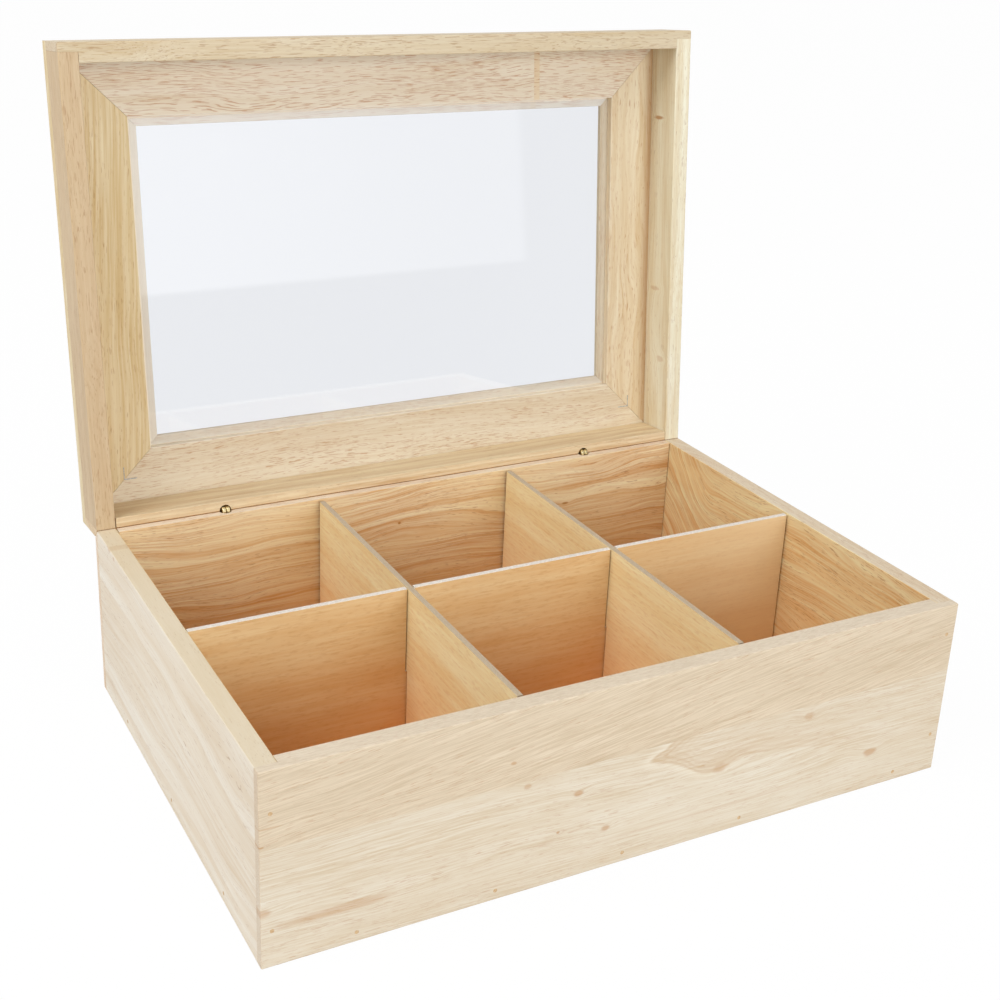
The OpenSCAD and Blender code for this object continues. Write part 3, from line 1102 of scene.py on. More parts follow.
@dataclass
class Piece:
    """One piece of the box and how it is finished.

    Args:
        name: name of the piece.
        surface: its shape, as on the closed box.
        material: its material.
        rides: the body that it moves with.
        slot: the record's slot of its finish.
        nodes: CAD nodes that it stands for.
        grain: world directions along, across and through the board.
        holes: shape that is cut out of it.
    """

    name: str
    surface: Surface
    material: bpy.types.Material
    rides: Rides
    slot: Slot
    nodes: tuple[str, ...]
    grain: Along | None = None
    holes: Surface | None = None

    def make(self) -> bpy.types.Object:
        """Makes the object, cuts its holes, writes its grain and joins it to its body.

        Returns:
            The object.
        """
        piece = self.stand(self.name, self.surface)
        if self.holes is not None:
            self.cut(piece)
        if self.grain is not None:
            self.write_grain(piece.data)
        if self.rides is Rides.LID:
            points = HINGE.opened(self.read(piece.data.vertices, "co"))
            piece.data.vertices.foreach_set("co", points.astype(np.float32).ravel())
            piece.data.update()
        piece.data.materials.clear()
        piece.data.materials.append(self.material)
        piece.data.shade_smooth()
        piece.data.set_sharp_from_angle(angle=SHARP)
        even = piece.modifiers.new("even_normals", "WEIGHTED_NORMAL")
        even.keep_sharp = True
        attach(piece, self.rides.value)
        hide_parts(*self.nodes)
        LOG.info("%s: %d faces on %s", self.name, len(piece.data.polygons), self.rides.value)
        return piece

    @staticmethod
    def stand(name: str, surface: Surface) -> bpy.types.Object:
        """Puts a surface into the scene.

        Args:
            name: name of the object.
            surface: its shape.

        Returns:
            The object.
        """
        mesh = bpy.data.meshes.new(name)
        mesh.from_pydata(surface.points.tolist(), [], surface.faces)
        mesh.update()
        piece = bpy.data.objects.new(name, mesh)
        bpy.context.scene.collection.objects.link(piece)
        return piece

    @staticmethod
    def read(items: bpy.types.bpy_prop_collection, what: str) -> np.ndarray:
        """Three numbers of every item.

        Args:
            items: vertices or faces of a mesh.
            what: name of what is read of each.

        Returns:
            Array of n x 3 numbers.
        """
        numbers = np.empty(3 * len(items))
        items.foreach_get(what, numbers)
        return numbers.reshape(-1, 3)

    def cut(self, piece: bpy.types.Object) -> None:
        """Cuts the holes out of the piece and removes the cutter again.

        Args:
            piece: the object.
        """
        cutter = self.stand("cutter", self.holes)
        step = piece.modifiers.new("holes", "BOOLEAN")
        step.operation, step.solver, step.object = "DIFFERENCE", "EXACT", cutter
        graph = bpy.context.evaluated_depsgraph_get()
        done = bpy.data.meshes.new_from_object(piece.evaluated_get(graph))
        piece.modifiers.clear()
        piece.data = done
        bpy.data.meshes.remove(cutter.data)

    def write_grain(self, mesh: bpy.types.Mesh) -> None:
        """Writes where each point lies in the board and what kind each face is.

        Formula: grain = place in millimetres on the board's own three directions, end_grain = 1
        where the face's normal lies along the board, inner = 1 where the face looks to the
        upright line through the middle of the box, crease = 1 within 0.6 mm of the hinge axis,
        and painted_top_shading = 1 where the face looks up, for painted light and shade on top
        faces.
        A divider's edges all count as cut.

        Args:
            mesh: mesh of the piece as on the closed box.
        """
        rows = self.grain.rows
        place = self.read(mesh.vertices, "co") @ rows.T / MM
        grain = mesh.attributes.new("grain", "FLOAT_VECTOR", "POINT")
        grain.data.foreach_set("vector", place.astype(np.float32).ravel())
        normals = self.read(mesh.polygons, "normal")
        centres = self.read(mesh.polygons, "center")
        ends = rows[: 2 if self.slot is Slot.DIVIDER else 1].T
        marks = {
            "end_grain": (np.abs(normals @ ends) > 0.7).any(axis=1),
            "inner": (normals * centres)[:, :2].sum(axis=1) < -20 * MM,
            "crease": np.linalg.norm(centres[:, 1:] - HINGE.pivot[1:], axis=1) < 0.6 * MM,
            "painted_top_shading": normals[:, 2] > 0.9,
        }
        for name, values in marks.items():
            mark = mesh.attributes.new(name, "FLOAT", "FACE")
            mark.data.foreach_set("value", values.astype(np.float32))


@dataclass
class Boards:
    """Sizes that the body and the lid share, and the boards that are made from them.

    Args:
        width, depth: outer size over the boards.
        board: thickness of a board.
        tongue: thickness of the tongue at the ends of a front or back board.
        outer_ease: radius of the sanded outer edges.
        inner_ease: radius of the sanded inner edges.
        seam_ease: radius that shows two flush boards as two.
        crease: radius of the rims' edges where body and lid meet at the hinge.
        shoulder_gap: gap between a side board and the back board's shoulder.
        stop_slope: angle of the sloping stop below the rim at the back.
        hinge_inset: distance from the back face to the hinge axis.
        plug_radius, plug_depth: size of a filled nail hole.
        plug_sunk: how far the middle of a plug lies below the board's face.
    """

    width: float = 330 * MM
    depth: float = 227 * MM
    board: float = 9 * MM
    tongue: float = 4.2 * MM
    outer_ease: float = 0.6 * MM
    inner_ease: float = 0.4 * MM
    seam_ease: float = 0.12 * MM
    crease: float = 0.4 * MM
    shoulder_gap: float = 0.35 * MM
    stop_slope: float = HINGE.opening / 2
    hinge_inset: float = 4.2 * MM
    plug_radius: float = 0.9 * MM
    plug_depth: float = 1.5 * MM
    plug_sunk: float = 0.08 * MM

    def end_board(self, profile: tuple, front: bool) -> Surface:
        """Front or back board with a tongue at each end.

        Formula: the profile (depth from the outer face, height) is carried along X. Over the
        ease at each end its edges move inwards, and outside the shoulders no point lies deeper
        than the tongue.

        Args:
            profile: outline points and the ease of each edge.
            front: True for the front board, False for the back board.

        Returns:
            The board in the world.
        """
        outline, ease = profile
        share, rise = quarter()
        half = self.width / 2
        shoulder = half - self.board - (0 if front else self.shoulder_gap)
        left_share = np.concatenate([share, [0.0, 0.0]])
        left = np.concatenate([-half + ease.max() * rise, [-shoulder, -shoulder]])
        deepest = self.tongue - self.seam_ease * left_share
        deepest[-1] = self.board
        shares = np.concatenate([left_share, left_share[::-1]])
        stations = np.concatenate([left, -left[::-1]])
        limits = np.concatenate([deepest, deepest[::-1]])
        rings = inset(outline, shares[:, None] * ease[None])
        rings[..., 0] = np.minimum(rings[..., 0], limits[:, None])
        start = -self.depth / 2 if front else self.depth / 2
        flip = UPRIGHT if front else TO_FRONT
        return carried(rings, stations[:, None]).placed(Along.X_Y_Z, (0, start, 0), flip)

    def side_board(self, profile: tuple, left: bool) -> Surface:
        """Side board between the tongues.

        Formula: the profile (depth from the outer face, height) is carried along Y.

        Args:
            profile: outline points and the ease of each edge.
            left: True for the left board, False for the right board.

        Returns:
            The board in the world.
        """
        outline, ease = profile
        share, rise = quarter()
        shares = np.concatenate([share, share[::-1]])
        near = self.tongue - self.depth / 2 + self.seam_ease * rise
        stations = np.concatenate([near, -near[::-1]])
        rings = inset(outline, shares[:, None] * np.full(ease.shape, self.seam_ease)[None])
        start = -self.width / 2 if left else self.width / 2
        flip = UPRIGHT if left else TO_LEFT
        return carried(rings, stations[:, None]).placed(Along.Y_X_Z, (start, 0, 0), flip)

    def wall(self, low: float, high: float, high_seam: bool) -> tuple:
        """Profile of a plain wall: a rectangle with eased or seamed corners.

        Args:
            low, high: heights of the lower and upper edge.
            high_seam: True where the upper edge meets another board.

        Returns:
            The outline and the ease of each edge.
        """
        outer, inner, seam = self.outer_ease, self.inner_ease, self.seam_ease
        radii = (outer, inner, *((seam, seam) if high_seam else (inner, outer)))
        corners = box_corners(0, self.board, low, high)
        return rounded(corners, radii, np.array(radii) * EASE_SHARE)

    def stop_wall(self, other: float, rim: float, up: bool) -> tuple:
        """Profile of a back board with the sloping stop along its outer rim edge.

        Formula: the slope leaves the rim above the hinge axis and falls at the slope's angle to
        the outer face.

        Args:
            other: height of the edge away from the rim.
            rim: height of the rim that meets the other half.
            up: True where the rim is the upper edge.

        Returns:
            The outline and the ease of each edge.
        """
        fall = self.hinge_inset * math.tan(self.stop_slope)
        outer, inner, seam = self.outer_ease, self.inner_ease, self.seam_ease
        edge, hinge = [(0, other), (self.board, other)], (self.hinge_inset, rim)
        if up:
            corners = edge + [(self.board, rim), hinge, (0, rim - fall)]
            radii = (outer, inner, inner, self.crease, inner)
        else:
            corners = [(0, rim + fall), hinge, (self.board, rim)] + edge[::-1]
            radii = (inner, self.crease, inner, seam, seam)
        return rounded(corners, radii, np.array(radii) * EASE_SHARE)

    def bore(self) -> Surface:
        """Cutter of a nail hole along its axis, with the board's face at 0."""
        return turned([self.plug_radius] * 2, [-CUT_OVER, self.plug_depth], BORE_STEPS)

    def plug(self) -> Surface:
        """Putty plug along its axis, a little dished where it was sanded.

        Formula: a turned profile whose face rises from the middle to the rim as the square of
        the radius.

        Returns:
            The plug, with the board's face at 0.
        """
        share = np.linspace(0.15, 1.0, 5)
        radii = np.concatenate([self.plug_radius * share, [self.plug_radius]])
        heights = np.concatenate([self.plug_sunk * (1 - share**2), [self.plug_depth]])
        return turned(radii, heights, BORE_STEPS)

    def in_ends(self, shape: Surface, spots: list) -> dict[str, list]:
        """A shape at spots of the front face and of the back face.

        Args:
            shape: the shape, with the board's face at 0.
            spots: places (x, height).

        Returns:
            Lists of placed shapes by wall.
        """
        y = self.depth / 2
        return {
            "front": [shape.placed(Along.Y_X_Z, (x, -y, z)) for x, z in spots],
            "back": [shape.placed(Along.Y_X_Z, (x, y, z), TO_FRONT) for x, z in spots],
        }

    def build_walls(
        self, stem: str, profiles: tuple, holes: dict, woods: Materials, rides: Rides
    ) -> None:
        """Builds and dresses the four walls of the body or of the lid.

        Args:
            stem: start of the walls' names.
            profiles: profile of the back wall and of the others.
            holes: lists of cutters by wall.
            woods: materials by name.
            rides: the body that the walls move with.
        """
        stop, wall = profiles
        walls = {
            "front": (self.end_board(wall, True), Along.X_Z_Y),
            "back": (self.end_board(stop, False), Along.X_Z_Y),
            "left": (self.side_board(wall, True), Along.Y_Z_X),
            "right": (self.side_board(wall, False), Along.Y_Z_X),
        }
        for side, (shape, grain) in walls.items():
            node = f"{stem}{side}_board"
            cut = joined(holes[side]) if side in holes else None
            Piece(f"{node}_wood", shape, woods[node], rides, Slot.WOOD, (node,), grain, cut).make()


@dataclass
class Body:
    """The box below the lid: four boards, a bottom panel and the plugs over its nails.

    Args:
        boards: sizes and boards shared with the lid.
        height: height of the rim.
        bottom: thickness of the bottom panel.
        row_start, row_pitch, row_end: places of the bottom nails.
        left_heights, right_heights: heights of the nails at the left and right corners.
        side_pitch: distance between the nails of a side board.
    """

    boards: Boards
    height: float = 86 * MM
    bottom: float = 9 * MM
    row_start: float = 38.5 * MM
    row_pitch: float = 60 * MM
    row_end: float = 24.5 * MM
    left_heights: tuple[float, float] = (16.5 * MM, 67.8 * MM)
    right_heights: tuple[float, float] = (19.4 * MM, 71.4 * MM)
    side_pitch: float = 70 * MM

    def spots(self) -> list:
        """Places (x, height) of the plugs in the front face and, mirrored, in the back face.

        Returns:
            The places.
        """
        half = self.boards.width / 2
        row = [-half + self.row_start + i * self.row_pitch for i in range(4)]
        row.append(half - self.row_end)
        corner = half - self.boards.board / 2
        corners = [(-corner, z) for z in self.left_heights]
        corners += [(corner, z) for z in self.right_heights]
        return [(x, self.bottom / 2) for x in row] + corners

    def placed(self, shape: Surface) -> dict[str, list]:
        """A plug shape, drawn along its axis, at every spot of each wall.

        Args:
            shape: the shape, with the board's face at 0.

        Returns:
            Lists of placed shapes by wall.
        """
        x, z = self.boards.width / 2, self.bottom / 2
        sides = (-self.side_pitch, 0.0, self.side_pitch)
        return self.boards.in_ends(shape, self.spots()) | {
            "left": [shape.placed(Along.X_Y_Z, (-x, y, z)) for y in sides],
            "right": [shape.placed(Along.X_Y_Z, (x, y, z), TO_LEFT) for y in sides],
        }

    def build(self, woods: Materials, mouths: list[Surface]) -> None:
        """Builds and dresses the body.

        Args:
            woods: materials by name.
            mouths: round mouths of the hinges that are cut into the back board.
        """
        boards = self.boards
        profiles = (boards.stop_wall(0, self.height, True), boards.wall(0, self.height, False))
        holes = self.placed(boards.bore())
        holes["back"] += mouths
        boards.build_walls("", profiles, holes, woods, Rides.BOX)
        x, y = boards.width / 2 - boards.board, boards.depth / 2 - boards.board
        corners = box_corners(-x, x, -y, y)
        slab = eased_slab(corners, [0] * 4, [boards.seam_ease] * 4, 0, self.bottom)
        node = "bottom_panel"
        wood, panel = woods[node], slab.placed(Along.Z_X_Y)
        Piece(f"{node}_wood", panel, wood, Rides.BOX, Slot.WOOD, (node,), Along.X_Y_Z).make()
        plugs = joined(sum(self.placed(boards.plug()).values(), []))
        nodes = ("brad_fillers",)
        Piece("nail_hole_putty", plugs, woods["putty"], Rides.BOX, Slot.PUTTY, nodes).make()


@dataclass
class DividerInsert:
    """The loose insert: one long divider with two cross dividers half-lapped over it.

    Args:
        thickness: thickness of the boards.
        low, high: heights of their lower and upper edges.
        lap: height of the half-lap.
        slot: width of a slot.
        left, right: ends of the long divider.
        long_y: middle of the long divider.
        front, back: ends of the cross dividers.
        cross_xs: middles of the cross dividers.
        ease: radius of the sawn edges.
    """

    thickness: float = 2.75 * MM
    low: float = 9 * MM
    high: float = 85.5 * MM
    lap: float = 44 * MM
    slot: float = 3.8 * MM
    left: float = -155.6 * MM
    right: float = 155.2 * MM
    long_y: float = -0.8 * MM
    front: float = -103.3 * MM
    back: float = 103.2 * MM
    cross_xs: tuple[float, float] = (-53.7 * MM, 52.5 * MM)
    ease: float = 0.15 * MM

    def notch(self, place: float, mouth: float) -> list:
        """Corners of a slot as far as the half-lap.

        Args:
            place: middle of the slot.
            mouth: height of the edge that it opens to.

        Returns:
            The four corners, from low to high places.
        """
        a, b = place - self.slot / 2, place + self.slot / 2
        return [(a, mouth), (a, self.lap), (b, self.lap), (b, mouth)]

    def long_outline(self) -> list:
        """Outline (x, height) of the long divider, open to the top at both slots.

        Returns:
            The corners, anticlockwise.
        """
        notches = sum((self.notch(x, self.high)[::-1] for x in self.cross_xs[::-1]), [])
        low = [(self.left, self.low), (self.right, self.low), (self.right, self.high)]
        return low + notches + [(self.left, self.high)]

    def cross_outline(self) -> list:
        """Outline (y, height) of a cross divider, open to the bottom at its slot.

        Returns:
            The corners, anticlockwise.
        """
        high = [(self.back, self.low), (self.back, self.high), (self.front, self.high)]
        return [(self.front, self.low)] + self.notch(self.long_y, self.low) + high

    def build_board(
        self, node: str, foil: bpy.types.Material, outline: list, middle: float, along: Along
    ) -> None:
        """Builds and dresses one divider.

        Args:
            node: its CAD node.
            foil: its material.
            outline: its corners.
            middle: where the middle of its thickness lies.
            along: world directions through it, along it and up.
        """
        half, count = self.thickness / 2, len(outline)
        eases = [self.ease] * count
        slab = eased_slab(outline, [0] * count, eases, middle - half, middle + half)
        grain = Along.X_Z_Y if along is Along.Y_X_Z else Along.Y_Z_X
        board, nodes = slab.placed(along), (node,)
        Piece(f"{node}_board", board, foil, Rides.INSERT, Slot.DIVIDER, nodes, grain).make()

    def build(self, foils: Materials) -> None:
        """Builds and dresses the three dividers.

        Args:
            foils: materials by name.
        """
        boards = [("long_divider", self.long_outline(), self.long_y, Along.Y_X_Z)]
        for side, x in zip(("left", "right"), self.cross_xs):
            boards.append((f"{side}_cross_divider", self.cross_outline(), x, Along.X_Y_Z))
        for node, outline, middle, along in boards:
            self.build_board(node, foils[node], outline, middle, along)


@dataclass
class Lid:
    """The lid: four rim boards, a mitred frame over them, the pane, nails and plugs.

    Args:
        boards: sizes and boards shared with the body.
        rim: height of the closed lid's rim.
        rim_height: height of the rim boards.
        frame: thickness of the frame.
        rail: width of a rail to the edge of its lip.
        lip: width of the lip behind the pane.
        rabbet: depth of the rabbet.
        pane: thickness of the pane.
        pane_gap: gap beside the pane.
        pane_rest: thickness of the glue between pane and lip.
        pane_corner, pane_ease: radius of the pane's corners and of its edges.
        mitre_gap: gap between two mitred rails.
        nail_inset, nail_leg, nail_wall, nail_proud: place and size of a mitre nail.
        nail_bend, nail_ease: radius of its corners and of its edges.
        nail_sunk: how deep the two nails at the lid's front edge lie below the wood.
    """

    boards: Boards
    rim: float = 86.3 * MM
    rim_height: float = 22.5 * MM
    frame: float = 6.5 * MM
    rail: float = 39 * MM
    lip: float = 4.5 * MM
    rabbet: float = 4 * MM
    pane: float = 2 * MM
    pane_gap: float = 0.8 * MM
    pane_rest: float = 0.1 * MM
    pane_corner: float = 0.5 * MM
    pane_ease: float = 0.2 * MM
    mitre_gap: float = 0.08 * MM
    nail_inset: float = 20 * MM
    nail_leg: float = 6.5 * MM
    nail_wall: float = 0.5 * MM
    nail_proud: float = 0.05 * MM
    nail_bend: float = 0.1 * MM
    nail_ease: float = 0.08 * MM
    nail_sunk: float = 0.3 * MM

    @property
    def low(self) -> float:
        """Height of the frame's underside on the closed lid."""
        return self.rim + self.rim_height

    def rail_surface(self, length: float) -> Surface:
        """One mitred rail.

        Formula: the profile (depth from the outer edge, height) runs from minus to plus (half
        the length - depth), so that both ends are cut at 45 degrees.

        Args:
            length: outer length of the rail.

        Returns:
            The rail on its own axes (along, depth, height).
        """
        boards, inner = self.boards, self.boards.inner_ease
        wall, ceiling, high = self.rail - self.lip, self.low + self.rabbet, self.low + self.frame
        corners = [(0, self.low), (wall, self.low), (wall, ceiling)]
        corners += [(self.rail, ceiling), (self.rail, high), (0, high)]
        radii = (boards.seam_ease, inner, 0, inner, inner, boards.outer_ease)
        outline, _ = rounded(corners, radii, radii)
        half = length / 2 - outline[:, 0] - self.mitre_gap
        return carried(np.stack([outline, outline]), np.stack([-half, half]))

    def build(self, woods: Materials, mouths: list[Surface]) -> None:
        """Builds and dresses the lid.

        Args:
            woods: materials by name.
            mouths: round mouths of the hinges that are cut into the back rim board.
        """
        boards = self.boards
        stop = boards.stop_wall(self.low, self.rim, False)
        profiles = (stop, boards.wall(self.rim, self.low, True))
        corner = boards.width / 2 - boards.board / 2
        spots = [(x, self.rim + self.rim_height / 2) for x in (-corner, corner)]
        holes = boards.in_ends(boards.bore(), spots)
        holes["back"] += mouths
        boards.build_walls("lid_", profiles, holes, woods, Rides.LID)
        plugs = joined(sum(boards.in_ends(boards.plug(), spots).values(), []))
        nodes = ("lid_brad_fillers",)
        Piece("lid_nail_hole_putty", plugs, woods["putty"], Rides.LID, Slot.PUTTY, nodes).make()
        self.build_frame(woods)
        self.build_pane(woods["pane"])
        self.build_nails(woods["steel"])

    def build_frame(self, woods: Materials) -> None:
        """Builds the four rails of the frame.

        Args:
            woods: materials by name.
        """
        x, y = self.boards.width / 2, self.boards.depth / 2
        long_rail, stile = self.rail_surface(2 * x), self.rail_surface(2 * y)
        rails = {
            "frame_front_rail": (long_rail, Along.X_Y_Z, (0, -y, 0), UPRIGHT),
            "frame_back_rail": (long_rail, Along.X_Y_Z, (0, y, 0), TO_FRONT),
            "frame_left_stile": (stile, Along.Y_X_Z, (-x, 0, 0), UPRIGHT),
            "frame_right_stile": (stile, Along.Y_X_Z, (x, 0, 0), TO_LEFT),
        }
        for node, (shape, along, at, flip) in rails.items():
            rail, nodes = shape.placed(along, at, flip), (node,)
            Piece(f"{node}_wood", rail, woods[node], Rides.LID, Slot.WOOD, nodes, along).make()

    def build_pane(self, clear: bpy.types.Material) -> None:
        """Builds the pane against the lip.

        Args:
            clear: its material.
        """
        gap = self.rail - self.lip + self.pane_gap
        x, y = self.boards.width / 2 - gap, self.boards.depth / 2 - gap
        top = self.low + self.rabbet - self.pane_rest
        low = top - self.pane + self.pane_rest
        corners, radii = box_corners(-x, x, -y, y), [self.pane_corner] * 4
        slab = eased_slab(corners, radii, [self.pane_ease] * 4, low, top)
        pane, nodes = slab.placed(Along.Z_X_Y), ("window_pane",)
        Piece("window_pane_clear", pane, clear, Rides.LID, Slot.PANE, nodes).make()

    def build_nails(self, steel: bpy.types.Material) -> None:
        """Builds the four bent nails across the mitres.

        Formula: an L outline of two thin legs, carried from just proud of the frame's underside
        into the wood, or from just below it at the lid's front edge.

        Args:
            steel: their material.
        """
        leg, wall, bend, ease = self.nail_leg, self.nail_wall, self.nail_bend, self.nail_ease
        corners = [(0, 0), (leg, 0), (leg, wall), (wall, wall), (wall, leg), (0, leg)]
        radii = [ease, bend, bend, 0, bend, bend]
        x, y = (side / 2 - self.nail_inset for side in (self.boards.width, self.boards.depth))
        nails = []
        for b, start in ((1, self.low + self.nail_sunk), (-1, self.low - self.nail_proud)):
            nail = eased_slab(corners, radii, [ease] * 6, start, self.low + self.rabbet)
            nails += [nail.placed(Along.Z_X_Y, (-a * x, -b * y, 0), (a, b, 1)) for a in (1, -1)]
        shape, nodes = joined(nails), ("mitre_nails",)
        Piece("mitre_nail_steel", shape, steel, Rides.LID, Slot.STEEL, nodes).make()


@dataclass
class BarrelHinges:
    """Two brass barrel hinges, each half a barrel with one round lobe.

    Args:
        spacing: distance between the hinges.
        barrel: radius of a barrel.
        barrel_length: length of a barrel.
        bevel: chamfer of its ends.
        setback: distance from the axis to a barrel's face.
        mouth: radius of the mouth in the wood.
        lobe: radius of a lobe.
        lobe_width: width of a lobe along the axis.
        lobe_gap: gap between two lobes.
        lobe_root: how deep a lobe stands in its barrel.
        ease: radius of a lobe's rims.
    """

    spacing: float = 204 * MM
    barrel: float = 2.7 * MM
    barrel_length: float = 9 * MM
    bevel: float = 0.3 * MM
    setback: float = 3.6 * MM
    mouth: float = 2.95 * MM
    lobe: float = 2 * MM
    lobe_width: float = 1.8 * MM
    lobe_gap: float = 0.2 * MM
    lobe_root: float = 0.2 * MM
    ease: float = 0.45 * MM

    def half(self) -> Surface:
        """One half of a hinge about its axis, with the barrel below and its lobe at low x.

        Formula: the lobe's outline is the upper half circle of the lobe over a straight neck,
        carried through its width with eased rims; the barrel is turned with a small chamfer.

        Returns:
            The half in world directions, with the axis at the origin.
        """
        angle = np.linspace(0, np.pi, 17)
        arc = self.lobe * np.stack([np.cos(angle), np.sin(angle)], axis=1)
        foot = -self.setback - self.lobe_root
        corners = [(-self.lobe, foot), (self.lobe, foot), *arc.tolist()]
        count, near = len(corners), -self.lobe_gap / 2
        eases = [self.ease] * count
        lobe = eased_slab(corners, [0] * count, eases, near - self.lobe_width, near)
        narrow, bevel, length = self.barrel - self.bevel, self.bevel, self.barrel_length
        heights = -self.setback - np.array([0, bevel, length - bevel, length])
        barrel = turned([narrow, self.barrel, self.barrel, narrow], heights, BARREL_STEPS)
        return joined([lobe.placed(Along.X_Y_Z), barrel.placed(Along.Z_X_Y)])

    def mouths(self, lid: bool) -> list[Surface]:
        """Round mouths and barrel bores, to cut out of a back board.

        Args:
            lid: True for the lid's side of the closed rims.

        Returns:
            One cutter for each hinge.
        """
        radii = [self.mouth, self.mouth, self.barrel, self.barrel]
        far = -self.setback - self.barrel_length
        bore = turned(radii, [CUT_OVER, -self.setback, -self.setback, far], BARREL_STEPS)
        flip = (1, 1, -1 if lid else 1)
        return [bore.placed(Along.Z_X_Y, at, flip) for at in self.places()]

    def places(self) -> list:
        """Points on the axis at the two hinges."""
        _, y, z = HINGE.pivot
        return [(x, y, z) for x in (-self.spacing / 2, self.spacing / 2)]

    def build(self, brass: bpy.types.Material) -> None:
        """Builds and dresses both halves of both hinges.

        Args:
            brass: the material.
        """
        half = self.half()
        parts = (("lower", UPRIGHT, Rides.BOX), ("upper", (-1, 1, -1), Rides.LID))
        for side, at in zip(("left", "right"), self.places()):
            for part, flip, rides in parts:
                node = f"{side}_hinge_{part}_barrel"
                shape = half.placed(Along.X_Y_Z, at, flip)
                Piece(f"{node}_brass", shape, brass, rides, Slot.BRASS, (node,)).make()


# ---- Studio ----


@dataclass
class Studio:
    """Camera, lamps, floor and surroundings.

    Args:
        eye: place of the camera.
        azimuth, elevation, roll: where it looks, in degrees.
        lens: focal length for a sensor of 36 mm.
        shift: shift of the frame.
        ambient: light of the surroundings.
        lamps: name, place, length of the side and power in watts of each lamp.
        aim: the point that the lamps shine at.
        floor_reach: half the side of the floor.
        room_y, room_x, room_z: place, half width and height of the wall that the pane mirrors.
        sill, jamb: height and right-hand edge of its window.
    """

    eye: tuple[float, ...] = (-316.69 * MM, -554.34 * MM, 391.59 * MM)
    azimuth: float = 28.498
    elevation: float = 21.396
    roll: float = 2.382
    lens: float = 55.134
    shift: tuple[float, float] = (0.0104, -0.0485)
    ambient: float = 0.55
    lamps: tuple = (
        ("front_lamp", (0.35, -2.2, 0.65), 1.15, 23.0),
        ("side_lamp", (-1.45, -0.15, 1.6), 1.2, 21.0),
    )
    aim: tuple[float, ...] = (0, 0, 0.1)
    floor_reach: float = 4.0
    room_y: float = -450 * MM
    room_x: float = 1.5
    room_z: float = 1.2
    sill: float = 129 * MM
    jamb: float = 405 * MM

    def camera(self) -> None:
        """Sets up the camera at the photograph's viewing angle.

        Formula: forward is turned by the azimuth from +Y towards +X and down by the elevation,
        and the picture is rolled about it.
        """
        azimuth, elevation, roll = map(math.radians, (self.azimuth, self.elevation, self.roll))
        ahead = (math.sin(azimuth), math.cos(azimuth))
        forward = np.array([a * math.cos(elevation) for a in ahead] + [-math.sin(elevation)])
        right = np.cross(forward, [0, 0, 1])
        right /= np.linalg.norm(right)
        up = np.cross(right, forward)
        across = right * math.cos(roll) + up * math.sin(roll)
        over = up * math.cos(roll) - right * math.sin(roll)
        data = bpy.data.cameras.new("camera")
        data.lens, data.sensor_width = self.lens, 36
        data.shift_x, data.shift_y = self.shift
        data.clip_start = 0.05
        camera = bpy.data.objects.new("camera", data)
        bpy.context.scene.collection.objects.link(camera)
        camera.matrix_world = self.pose(across, over, -forward, self.eye)
        bpy.context.scene.camera = camera

    @staticmethod
    def pose(x: np.ndarray, y: np.ndarray, z: np.ndarray, place: tuple) -> Matrix:
        """Matrix of an object whose own axes point to x, y and z and that stands at a place."""
        rows = np.column_stack([x, y, z, place])
        return Matrix(np.vstack([rows, [0, 0, 0, 1]]).tolist())

    def lamp(self, name: str, place: tuple, size: float, power: float) -> None:
        """Adds a soft square lamp that points at the box.

        Args:
            name: name of the lamp.
            place: where it stands.
            size: length of its side.
            power: its power in watts.
        """
        data = bpy.data.lights.new(name, "AREA")
        data.size, data.energy = size, power
        lamp = bpy.data.objects.new(name, data)
        bpy.context.scene.collection.objects.link(lamp)
        back = np.array(place, float) - np.array(self.aim, float)
        back /= np.linalg.norm(back)
        side = np.cross([0, 0, 1], back)
        side /= np.linalg.norm(side)
        lamp.matrix_world = self.pose(side, np.cross(back, side), back, place)

    @staticmethod
    def seen(sheet: Sheet) -> Socket:
        """1 on rays that show the background: from the camera, off gloss and through glass.

        Args:
            sheet: nodes of the material.

        Returns:
            1 or 0.
        """
        path = sheet.node("LightPath").outputs
        seen = sheet.sums("MAXIMUM", path["Is Camera Ray"], path["Is Glossy Ray"])
        return sheet.sums("MAXIMUM", seen, path["Is Transmission Ray"])

    def world(self) -> None:
        """Sets up pale surroundings that show as plain white."""
        world = bpy.data.worlds.new("surroundings")
        bpy.context.scene.world = world
        world.use_nodes = True
        sheet = Sheet(world.node_tree)
        strength = sheet.spread(self.seen(sheet), 0.0, 1.0, self.ambient, 1.0)
        sheet.finish(sheet.out("Background", {0: WHITE, 1: strength}), "OutputWorld")

    @staticmethod
    def flat(name: str, corners: list, material: bpy.types.Material) -> bpy.types.Object:
        """A flat face with four corners.

        Args:
            name: name of the object.
            corners: its corners.
            material: its material.

        Returns:
            The object.
        """
        face = Piece.stand(name, Surface(np.array(corners, float), [[0, 1, 2, 3]]))
        face.data.materials.append(material)
        return face

    def floor(self) -> None:
        """Lays a pale floor that shows as white with the object's soft shadow."""
        material, sheet = new_material("pale floor")
        speck = sheet.noise(sheet.spot(), 2.0)
        seen = self.seen(sheet)
        tone = sheet.blend(speck, "#dcdcdb", "#e0e0e0")
        matt = sheet.out("BsdfDiffuse", {0: sheet.blend(seen, tone, "#ffffff")})
        white = sheet.out("Emission", {0: WHITE, 1: 1.0})
        sheet.finish(sheet.mixed(sheet.product(seen, 0.97), matt, white))
        side = self.floor_reach
        corners = [(x, y, 0) for x, y in box_corners(-side, side, -side, side)]
        floor = self.flat("floor", corners, material)

